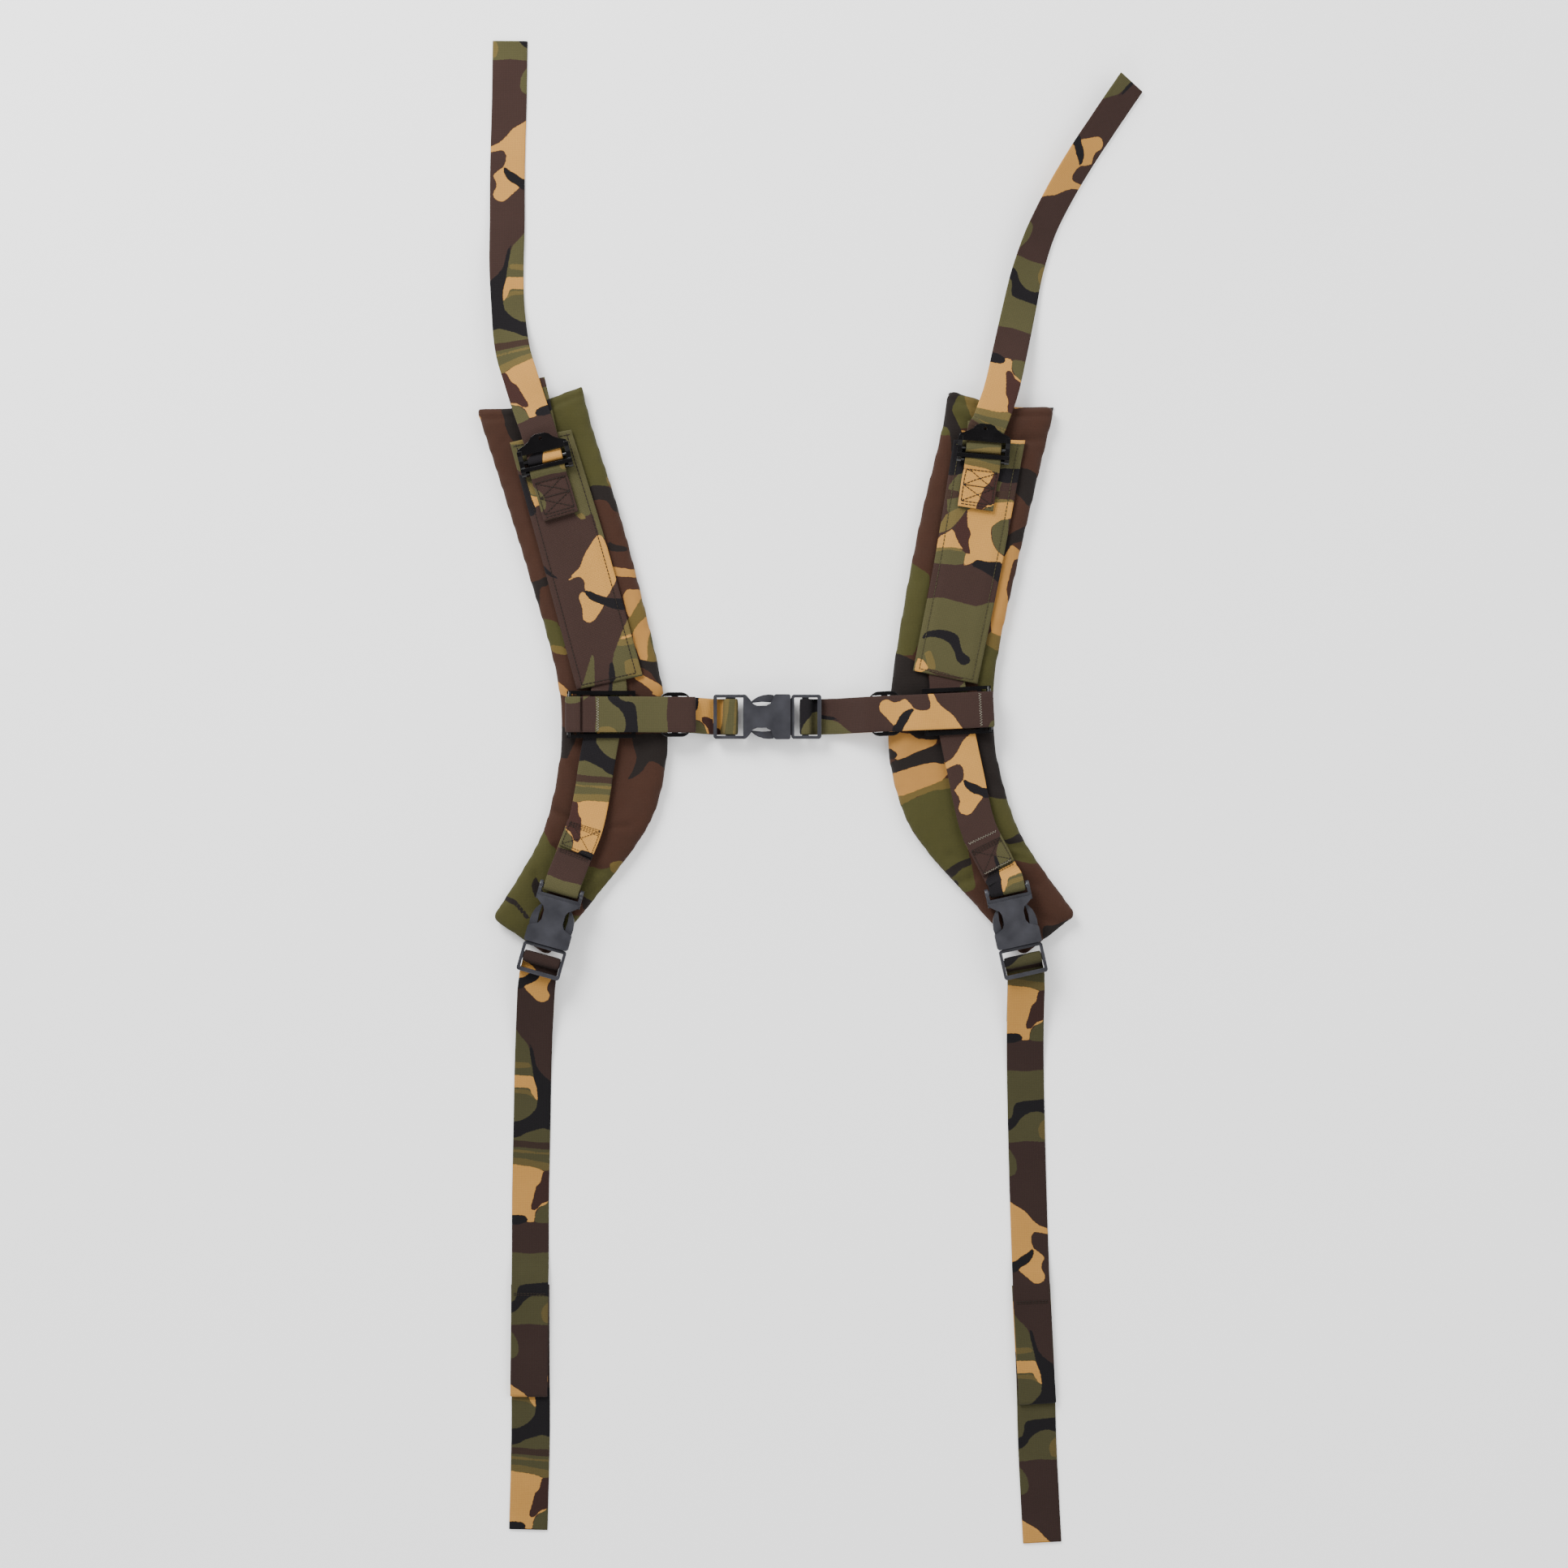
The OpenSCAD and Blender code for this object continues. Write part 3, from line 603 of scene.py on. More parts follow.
def resample(stations):
    """Even rows along a smooth curve through the stations: place, direction, side, up."""
    kept = graded([(np.array(s[0], float), np.array(s[1], float)) for s in stations])
    place = np.array([s[0] for s in kept], float)
    side = np.array([s[1] for s in kept], float)
    step = np.linalg.norm(np.diff(place, axis=0), axis=1)
    run = np.concatenate([[0], np.cumsum(step)])
    slope = np.zeros_like(place)
    rate = np.diff(place, axis=0) / step[:, None]
    slope[0], slope[-1] = rate[0], rate[-1]
    before, after = step[:-1, None], step[1:, None]
    slope[1:-1] = (rate[:-1] * after + rate[1:] * before) / (before + after)
    count = max(int(run[-1] / WEB_PITCH), 2)
    at = np.linspace(0, run[-1], count + 1)
    i = np.clip(np.searchsorted(run, at, side="right") - 1, 0, len(step) - 1)
    h = step[i][:, None]
    t = ((at - run[i]) / step[i])[:, None]
    points = ((2 * t ** 3 - 3 * t ** 2 + 1) * place[i] + (t ** 3 - 2 * t ** 2 + t) * h * slope[i]
              + (3 * t ** 2 - 2 * t ** 3) * place[i + 1] + (t ** 3 - t ** 2) * h * slope[i + 1])
    sides = side[i] * (1 - t) + side[i + 1] * t
    ahead = np.gradient(points, axis=0)
    ahead /= np.linalg.norm(ahead, axis=1)[:, None]
    sides -= (sides * ahead).sum(1)[:, None] * ahead
    sides /= np.linalg.norm(sides, axis=1)[:, None]
    up = np.cross(ahead, sides)
    return {"run": at, "place": points, "side": sides, "up": up}


def on_strap(rows, distance, side, lift):
    """A point on a strap, a lift above the middle of its thickness."""
    point = []
    for axis in range(3):
        value = [np.interp(distance, rows["run"], rows[key][:, axis])
                 for key in ("place", "side", "up")]
        point.append(value[0] + value[1] * side + value[2] * lift)
    return np.array(point)


WEB_PITCH = 1.25
WEB_COLUMNS = np.concatenate([[-1, -0.992, -0.965], np.linspace(-0.92, 0.92, 17),
                              [0.965, 0.992, 1]])


def band_points(rows, width, ripple, seed):
    """The closed skin of webbing: upper side, then lower side, with rounded selvedges."""
    half = width / 2
    swell = np.sqrt(np.clip(1 - np.abs(WEB_COLUMNS) ** 14, 0, 1)) * WEB_T / 2
    wave = np.array([[noise.noise(Vector((s / 23 + seed, c * 0.7, seed)))
                      for c in WEB_COLUMNS] for s in rows["run"]]) * ripple
    base = rows["place"][:, None] + rows["side"][:, None] * (WEB_COLUMNS * half)[None, :, None]
    top = base + rows["up"][:, None] * (swell[None, :] + wave)[..., None]
    bottom = base + rows["up"][:, None] * (wave - swell[None, :])[..., None]
    return np.concatenate([top, bottom[:, ::-1][:, 1:-1]], axis=1)


def row_near(rows, place):
    """The distance along a strap of the row nearest to a place."""
    place = np.array(place, float)
    gap = np.linalg.norm(rows["place"][:, :len(place)] - place, axis=1)
    return rows["run"][gap.argmin()]


def webbing(name, stations, body, width=WEB_W, start=0.0, facing=1, turned=1,
            material=WEBBING, ripple=0.1, ride=True, slip=None):
    """A printed strap. start is where its first end lies on the print, facing is 1 if the
    print runs along it and -1 if against, and turned is -1 where the print is mirrored.
    slip moves the print of the rows before a place that lies out of sight."""
    rows = resample(stations)
    skin = band_points(rows, width, ripple, start * 0.13)
    count, ring = skin.shape[:2]
    across_line = np.concatenate([WEB_COLUMNS, WEB_COLUMNS[::-1][1:-1]]) * width / 2
    faces = tube_faces(count, ring, flip=True)
    for first, flip in ((0, False), ((count - 1) * ring, True)):
        for j in range(len(WEB_COLUMNS) - 1):
            upper, beside = first + j, first + j + 1
            lower = first + (ring - j) % ring
            below = first + (ring - j - 1) % ring
            if below == beside:
                face = (upper, beside, lower)
            elif upper == lower:
                face = (upper, beside, below)
            else:
                face = (upper, beside, below, lower)
            faces.append(face[::-1] if flip else face)
    points = skin.reshape(-1, 3)
    piece = new_piece(name, points, faces, material, body if ride else None)
    down = np.repeat(rows["run"], ring)
    side = np.tile(across_line, count)
    printed = start + facing * down
    if slip:
        printed[down < row_near(rows, slip[0])] += slip[1]
    set_print(piece.data, webbing_print(printed, turned * side))
    set_strap_map(piece.data, np.stack([side, down], axis=1))
    return piece, rows


def keyed_webbing(name, stations, body, place, print_at, facing, turned, **settings):
    """Webbing whose print lies at print_at in the row nearest to a place."""
    start = print_at - facing * row_near(resample(stations), place)
    return webbing(name, stations, body, start=start, facing=facing, turned=turned, **settings)


# ---- routes, as in part.scad: [x, y, z, roll in degrees] ----

PANEL_CORNERS = (
    [[-210, 244.5], [-167, 253.5], [-144, 179], [-117, 81.5], [-163, 71.5], [-187.5, 162.5]],
    [[100.5, 246.5], [150.5, 246], [134.5, 160], [117, 75.5], [72, 85], [87.5, 165]],
)
CENTRE_ROUTE = (
    [[-188, 246, WEB_Z, 0], [-166.5, 170, WEB_Z, 0], [-144.5, 90, WEB_Z, 0],
     [-140.6, 73.6, WEB_Z, 0], [-141.5, 65.6, LIFTED_Z, 0], [-145.6, 40, LIFTED_Z, 0],
     [-150, 14, LIFTED_Z, 0], [-152, 0, LIFTED_Z, 0], [-156.8, -23, WEB_Z + 3, 0],
     [-163.9, -41.5, WEB_Z + 3.5, 0]],
    [[125.4, 243, WEB_Z, 0], [110, 160, WEB_Z, 0], [97, 96, WEB_Z, 0],
     [96.1, 75.8, WEB_Z, 0], [97.4, 68, LIFTED_Z, 0], [103, 40, LIFTED_Z, 0],
     [109.4, 10, LIFTED_Z, 0], [112.4, -5, LIFTED_Z, 0], [118.3, -27, WEB_Z + 3, 0],
     [131.4, -53, WEB_Z + 4.4, 0]],
)
CENTRE_PRINT = (((-140.6, 73.6), 150), ((96.1, 75.8), 21))
LOCK_AT = ([-183.2, 225.3], [120.4, 231.6])
LOCK_HEADING = (103, 85.5)
TAB_HEADING = (286, 261.5)
TAB_L = 34
TAB_PRINT = (44, 260)
TAIL_PROFILE = (
    [[15.9, -2.45], [28, -2.45], [36, -4.9], [50, -5.5], [64, -6.1]],
    [[15.9, -2.45], [22, -2.55], [27, -3.4]],
)
TOP_ROUTE = (
    [[-190.5, 254.5, 17.6, 0], [-196.2, 270.5, 15.3, 0], [-202.3, 289.8, 14.1, 0],
     [-208.2, 310, 10.5, 8], [-211.6, 338, 6.6, 22], [-212.8, 368, 5.4, 16],
     [-212.5, 400, 2.8, 5], [-212.4, 440, 1, 0], [-211.2, 485, 0.9, 0],
     [-210.6, 527.6, 0.9, 0]],
    [[124.8, 256.5, 17.6, 0], [129, 267.5, 15.6, 0], [134.4, 284, 14.3, 0],
     [140.3, 309.7, 10.5, 6], [146.3, 337, 7, 14], [152.3, 364, 7.2, 24],
     [161.4, 391.5, 8.2, 33], [174.7, 418.8, 8.4, 35], [190.9, 446, 8.4, 35],
     [209, 473.3, 8.4, 35], [225.4, 497.4, 8.4, 35]],
)
TOP_PRINT = (((-210.6, 527.6), 0.2, -1, 1), ((225.4, 497.4), 157.5, 1, -1))
WRAP_PRINT = (171, 226)
HINGE_AT = ([-173.6, -68.3], [137.7, -68])
LOW_HEADING = (-105.8, -77.4)
FIXED_BAR_U = -40.1
MALE_BAR_U = 10.4
CHEST_AT = [-13.6, 52.8]
CHEST_BAR_U = -42
LOWER_ROUTE = (
    [[-191.8, -139, 11.4, 0], [-193.3, -165, 5, 0], [-194.5, -195, 1.2, 0],
     [-195.3, -235, 0.8, 0], [-196.3, -285, 0.8, 0], [-196.4, -322, 1.1, 0],
     [-196.5, -345, 3.6, 0], [-196.9, -380, 4, 0], [-197.3, -418, 4, 0]],
    [[151.2, -139, 11.4, 0], [151, -165, 5, 0], [151.3, -195, 1.2, 0],
     [152.1, -235, 0.8, 0], [153.4, -285, 0.8, 0], [154.6, -322, 1.1, 0],
     [155.3, -345, 3.6, 0], [157, -382, 4, 0], [159.5, -423, 4, 0]],
)
LOWER_PRINT = (((-191.8, -139, 11.4), 106), ((151.2, -139, 11.4), 234))
LOWER_SLIP = (-28, 0)
LOWER_TAIL = (
    [[-193.1, -161, 3.9, 0], [-191.7, -140, 9.4, 0]],
    [[150.9, -161, 3.9, 0], [151.1, -140, 9.4, 0]],
)
FOLD_HEADING = (-90.6, -86.5)
FOLD_RETURN = (
    [[-196.9, -385, 2.25, 0], [-196.5, -352, 2.25, 0]],
    [[157.1, -385, 2.25, 0], [155.5, -352, 2.25, 0]],
)
EXTENSION_ROUTE = (
    [[-196.5, -346, 0.8, 0], [-196.4, -400, 0.8, 0], [-196.2, -450, 0.8, 0],
     [-197.8, -518, 0.8, 0]],
    [[155.3, -346, 0.8, 0], [158.4, -410, 0.8, 0], [159.8, -460, 0.8, 0],
     [163.2, -527.1, 0.8, 0]],
)
EXTENSION_PRINT = (98, 218)
KEEPER_LOWER = (
    [[-157.6, -23.5, WEB_Z, 0], [-162, -35, WEB_Z, 0], [-167, -49, WEB_Z, 0]],
    [[117.8, -27, WEB_Z, 0], [123.6, -38, WEB_Z, 0], [130.5, -51, WEB_Z, 0]],
)
KEEPER_UPPER = (
    [[-166.3, -47.5, WEB_Z + 2.9, 0], [-164.3, -42.3, WEB_Z + 1.8, 0],
     [-161.4, -34, WEB_Z + 1.5, 0], [-157.4, -23.5, WEB_Z + 1.5, 0]],
    [[133.4, -57, WEB_Z + 3.4, 0], [131, -52.2, WEB_Z + 2.4, 0],
     [126, -42, WEB_Z + 1.5, 0], [117.8, -27, WEB_Z + 1.5, 0]],
)
KEEPER_PRINT = (250, 136)
SLIDER_AT = ([-142.5, 54.3], [99.7, 56.6])
SLIDER_TURN = (180, 3)
SLIDER_BAR_X = 18 + 7.7
CHEST_STRAP = [
    [-158.3, 54.3, SLIDER_BAR_Z + 4.5, 0], [-140, 54.3, SLIDER_BAR_Z + 4.5, 0],
    [-122, 54.3, SLIDER_BAR_Z + 4.2, 0], [-108, 54.2, PAD_T + 5.6, 0],
    [-96, 54.2, PAD_T + 5.1, 0], [-84, 54.2, PAD_T + 5, 0],
]
CHEST_FOLD_END = [[-84, 54.2, PAD_T + 0.85, 0], [-91, 54.2, PAD_T + 0.85, 0]]
CHEST_LOOP_TOP = [[-90, 54, 11, 0], [-82, 53.9, 10.4, 0], [-75, 53.4, 8, 0]]
CHEST_LOOP_BOTTOM = [[-75, 53.3, 6.2, 0], [-82, 53.8, 8.7, 0], [-90, 54, 9.3, 0]]
RIGHT_CHEST_TAIL = [[43, 54.3, 9.4, 0], [32, 53.8, 7.2, 0], [20, 53.1, 4.8, 0]]
RIGHT_CHEST_STRAP = [
    [20, 53.1, 6.8, 0], [28, 53.6, 10.2, 0], [34.5, 53.9, 14.2, 0],
    [40.5, 54.2, PAD_T + 5, 0], [52, 54.8, PAD_T + 5, 0], [64, 55.2, PAD_T + 5.2, 0],
    [76, 55.7, SLIDER_BAR_Z + 3.9, 0],
    [86, 56.1, SLIDER_BAR_Z + 4.5, 0], [108, 57.1, SLIDER_BAR_Z + 4.5, 0],
]
SLIDER_HOOP = [
    [-8, 4.5], [-5, 4.3], [-2.2, 3.3], [0, 2.5], [1.8, 1.6], [2.45, 0], [1.8, -1.6],
    [0, -2.45], [-1.9, -1.5], [-2.9, 0.3], [-4, 2.3], [-6, 2.85], [-12, 2.9], [-18, 2.9],
]


def adjuster_hoop(half):
    """Webbing once round the flat bar of an adjuster."""
    return [[half + 8, -3.45], [half + 4.4, -3.4], [half + 1.9, -2.1], [half + 1, 0],
            [half - 0.3, 1.85], [0, 1.95], [0.3 - half, 1.85], [-half - 1, 0],
            [-half - 0.2, -1.95], [0, -2.8], [half + 0.8, -4.2], [half + 4, -5.05],
            [half + 8, -5.05]]


# ---- the straps ----

def add_top_strap(side):
    """The strap out of the ladder lock, its tail, and the turn over the lock's bar."""
    name = SIDES[side]
    at, heading = LOCK_AT[side], LOCK_HEADING[side]
    place, print_at, facing, turned = TOP_PRINT[side]
    start = hoop_stations(at, LOCK_Z, heading, [[15.9, -0.45], [21, -0.5]])
    strap, rows = keyed_webbing(name + "_long_strap", start + free_stations(TOP_ROUTE[side]),
                                name + "_pad", place, print_at, facing, turned,
                                width=WEB_W - 0.5, ride=False, ripple=0.25)
    tail, _ = webbing(name + "_strap_tail",
                      hoop_stations(at, LOCK_Z, heading, TAIL_PROFILE[side]),
                      name + "_pad", width=WEB_W - 0.5, start=300, ride=False)
    for piece in (strap, tail):
        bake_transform(piece)
    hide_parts(name + "_top_strap")
    radius = LOCK_BAR_R + GAP + WEB_T / 2
    profile = ([[16.3, -0.4], [13.2, 0.05], [10.5, 1.6]]
               + round_bend(radius, 90, 270, 30, 7.6) + [[11.6, -2.5], [15.8, -2.5]])
    wrap, _ = keyed_webbing(name + "_wrap", hoop_stations(at, LOCK_Z, heading, profile),
                            name + "_lock", heading_at(at, heading, 7.6), WRAP_PRINT[side], 1,
                            1, width=WEB_W - 0.5)
    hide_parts(name + "_lock_wrap")
    return rows


def add_lock_tab(side):
    name = SIDES[side]
    radius = LOCK_BAR_R + GAP + WEB_T / 2
    profile = [[7.5, -0.95], [4.4, 0.5]] + round_bend(radius, 70, 280, 30) + [[6, -2.6]]
    near = heading_at(LOCK_AT[side], TAB_HEADING[side], 14)
    end = heading_at(LOCK_AT[side], TAB_HEADING[side], TAB_L)
    upper, lower = LOCK_Z - 1.05, LOCK_Z - 2.55
    stations = (free_stations([[*end, upper, 0], [*near, upper, 0]], -1)
                + hoop_stations(LOCK_AT[side], LOCK_Z, LOCK_HEADING[side] + 180, profile)
                + free_stations([[*near, lower, 0], [*end, lower, 0]]))
    tab, rows = webbing(name + "_tab", stations, name + "_pad", start=TAB_PRINT[side],
                        facing=-1, turned=1, ripple=0.05)
    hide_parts(name + "_lock_tab")
    return rows


def add_lower_strap(side):
    name = SIDES[side]
    bar = heading_at(HINGE_AT[side], LOW_HEADING[side], MALE_BAR_U - FIXED_BAR_U)
    hoop = hoop_stations(bar, LOW_BUCKLE_Z, LOW_HEADING[side], adjuster_hoop(2.4))
    end = LOWER_ROUTE[side][-1][:2]
    turn = round_bend(0.88, 60, -60, 30)
    stations = (free_stations(LOWER_TAIL[side], -1) + hoop[::-1]
                + free_stations(LOWER_ROUTE[side])
                + hoop_stations(heading_at(end, FOLD_HEADING[side], 5), 3.12,
                                FOLD_HEADING[side], turn)
                + free_stations(FOLD_RETURN[side], -1))
    place, print_at = LOWER_PRINT[side]
    strap, rows = keyed_webbing(name + "_adjusting_strap", stations, name + "_male", place,
                                print_at, 1, 1, width=LOW_WEB_W, ripple=0.2,
                                material=PAINTED_SHADE_LOW_WEBBING,
                                slip=(hoop[0][0], LOWER_SLIP[side]))
    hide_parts(name + "_lower_strap")
    extension, more = webbing(name + "_extension", free_stations(EXTENSION_ROUTE[side]),
                              name + "_male", width=LOW_WEB_W + 1,
                              start=EXTENSION_PRINT[side], turned=1, ripple=0.1,
                              material=PAINTED_SHADE_LOW_WEBBING)
    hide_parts(name + "_strap_extension")
    return rows, more


def add_centre_webbing(side):
    name = SIDES[side]
    place, print_at = CENTRE_PRINT[side]
    piece, rows = keyed_webbing(name + "_shoulder_webbing", free_stations(CENTRE_ROUTE[side]),
                                name + "_pad", place, print_at, 1, -1)
    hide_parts(name + "_centre_webbing")
    radius = 2.65
    profile = ([[-7, -3.6], [-3.4, -3.05]] + round_bend(radius, -90, 90, 30)
               + [[-3.6, 2.6], [-7.5, 1.9]])
    stations = (free_stations(KEEPER_LOWER[side])
                + hoop_stations(HINGE_AT[side], LOW_BUCKLE_Z, LOW_HEADING[side], profile)
                + free_stations(KEEPER_UPPER[side], -1))
    place = KEEPER_UPPER[side][-1][:3]
    keeper, loop_rows = keyed_webbing(name + "_keeper", stations, name + "_pad", place,
                                      KEEPER_PRINT[side], -1, -1, ripple=0.05)
    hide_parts(name + "_buckle_keeper")
    return rows, loop_rows


def slider_bar(side):
    return heading_at(SLIDER_AT[side], SLIDER_TURN[side], SLIDER_BAR_X)


def add_sternum_straps():
    fold = round_bend(2.08, 60, -60, 30)
    stations = (free_stations(CHEST_STRAP) + hoop_stations([-82.5, 54.2], PAD_T + 2.93, 0, fold)
                + free_stations(CHEST_FOLD_END, -1))
    strap, left_rows = webbing("left_chest_strap", stations, "left_chest", start=22.3,
                               facing=-1, turned=-1)
    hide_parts("left_sternum_strap")
    keeper, keeper_rows = webbing(
        "left_chest_keeper",
        hoop_stations(slider_bar(LEFT), SLIDER_BAR_Z, SLIDER_TURN[LEFT], SLIDER_HOOP),
        "left_chest", start=24, facing=1, turned=1, ripple=0.05)
    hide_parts("left_sternum_keeper")
    bar = [CHEST_AT[0] + CHEST_BAR_U, CHEST_AT[1]]
    hoop = hoop_stations(bar, CHEST_BUCKLE_Z, 180, adjuster_hoop(3.5))
    stations = (free_stations(CHEST_LOOP_TOP, -1) + hoop
                + free_stations(CHEST_LOOP_BOTTOM, 1))
    loop, _ = webbing("left_chest_loop", stations, "left_chest", start=-66, facing=-1,
                      turned=1, ripple=0.05, slip=(hoop[0][0], 14))
    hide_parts("left_sternum_loop")
    bar = [CHEST_AT[0] + MALE_BAR_U, CHEST_AT[1]]
    hoop = hoop_stations(bar, CHEST_BUCKLE_Z, 0, adjuster_hoop(2.4))
    stations = (free_stations(RIGHT_CHEST_TAIL, -1) + hoop[::-1]
                + free_stations(RIGHT_CHEST_STRAP)
                + hoop_stations(slider_bar(RIGHT), SLIDER_BAR_Z, SLIDER_TURN[RIGHT],
                                SLIDER_HOOP))
    strap, right_rows = keyed_webbing("right_chest_strap", stations, "right_chest",
                                      (40.5, 54.2, PAD_T + 5), 121.5, -1, 1,
                                      slip=(hoop[0][0], 26))
    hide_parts("right_sternum_strap")
    return left_rows, keeper_rows, right_rows


strap_rows = {}
for this_side in (LEFT, RIGHT):
    strap_rows["top", this_side] = add_top_strap(this_side)
    strap_rows["tab", this_side] = add_lock_tab(this_side)
    strap_rows["lower", this_side], strap_rows["extension", this_side] = (
        add_lower_strap(this_side))
    strap_rows["centre", this_side], strap_rows["keeper", this_side] = (
        add_centre_webbing(this_side))
strap_rows["chest", LEFT], strap_rows["chest_keeper", LEFT], strap_rows["chest", RIGHT] = (
    add_sternum_straps())


# ---- printed pattern of the pads and panels: blobs as places seen from above ----

PAD_LAYERS = ("green", "ochre", "tan", "spot", "black")
LEFT_PAD = {
    "green": [
        [(-190, 284), (-158, 290), (-148, 255), (-137, 217), (-150, 213.5), (-172, 214), (-184, 250)],
        [(-200, 123), (-190, 122), (-177, 119), (-171, 104), (-174, 100), (-184, 99), (-194, 98)],
        [(-125, 113), (-118, 120), (-112, 132), (-106, 134), (-104, 118), (-100, 92), (-108, 90),
         (-114, 93), (-116, 104), (-119, 117), (-123, 110)],
        [(-194, -27), (-187, -27), (-182, -36), (-177, -42), (-180, -60), (-186, -78), (-192, -95),
         (-200, -110), (-235, -95), (-215, -60)],
        [(-156, -52), (-146, -54), (-138, -52), (-130, -50), (-134, -62), (-146, -77), (-156, -76),
         (-162, -64)],
        [(-176, -84), (-166, -86), (-158, -88), (-160, -100), (-172, -110), (-184, -104)],
    ],
    "ochre": [
        [(-143, 219), (-140, 223), (-134, 216), (-134, 212), (-139, 213)],
        [(-182, 103), (-174, 102), (-168, 98), (-172, 96), (-180, 98)],
        [(-128, 119), (-126, 124), (-121, 132), (-117, 138), (-112, 132), (-108, 126), (-113, 125),
         (-120, 118), (-125, 110)],
        [(-112, 124), (-110, 124), (-112, 108), (-109, 98), (-107, 90), (-115, 90), (-114.4, 106)],
        [(-140, -50), (-133, -48), (-128, -52), (-134, -57), (-139, -56)],
    ],
    "tan": [
        [(-236, 266), (-231, 263), (-230.5, 258), (-229, 252), (-236, 252)],
        [(-140, 158), (-130, 156.5), (-118, 155), (-118, 150.5), (-127, 150.6), (-140, 152)],
        [(-131, 137), (-128.6, 141.2), (-126.5, 142), (-116, 141.4), (-117, 138), (-121, 131),
         (-124, 126), (-127, 121), (-129, 129)],
        [(-124, 112), (-120, 118), (-113, 124), (-111.6, 115), (-113.6, 104), (-114, 91), (-118, 91),
         (-121, 99), (-124, 106)],
        [(-126, 86), (-118, 82.5), (-108, 77), (-100, 73), (-98, 66), (-112, 69), (-122, 79)],
        [(-184, 81), (-176, 77), (-169, 71), (-165, 66.5), (-173, 67.5), (-181, 73)],
    ],
    "spot": [
        [(-124, 79), (-117, 76), (-110, 70), (-112, 66), (-124, 66)],
    ],
    "black": [
        [(-216, 268), (-209, 271), (-205, 262), (-199, 247), (-203, 241), (-209, 247), (-213, 255),
         (-214, 261)],
        [(-198, 145.5), (-191, 148), (-184, 151), (-180, 149), (-184, 144.4), (-189, 142.6),
         (-189.6, 128), (-196, 127)],
        [(-154, 214.5), (-141, 214), (-134, 206), (-131, 197), (-137, 196.5), (-142, 203.6), (-148, 205),
         (-153, 204)],
        [(-142, 176.6), (-137, 173.4), (-128, 171.5), (-128.6, 168.6), (-137, 168.4), (-141, 170)],
        [(-121, 93.5), (-112, 91.4), (-106, 90.6), (-99, 76), (-101, 72), (-107, 77), (-112, 84),
         (-119, 88)],
        [(-182, 49), (-166, 42), (-164, 37), (-168, 28), (-170, 23.4), (-176, 24.6), (-181, 27)],
        # this black blob along the sternum strap's lower edge is print with painted shadow of the strap
        # in it
        [(-124, 40), (-96, 40), (-97, 16), (-102, 17), (-108, 21), (-113, 21.5), (-117, 15), (-123, 10.5),
         (-128.5, 8.4), (-124, 15), (-121.4, 24)],
        [(-218, -71.5), (-207, -75), (-200, -83), (-195.6, -88.5), (-199, -88.6), (-206, -80),
         (-215, -75)],
        [(-192.5, -59), (-190, -63), (-187, -70), (-192, -74), (-195, -66)],
        [(-159, -73), (-151, -77.6), (-152, -83), (-159, -82)],
    ],
}
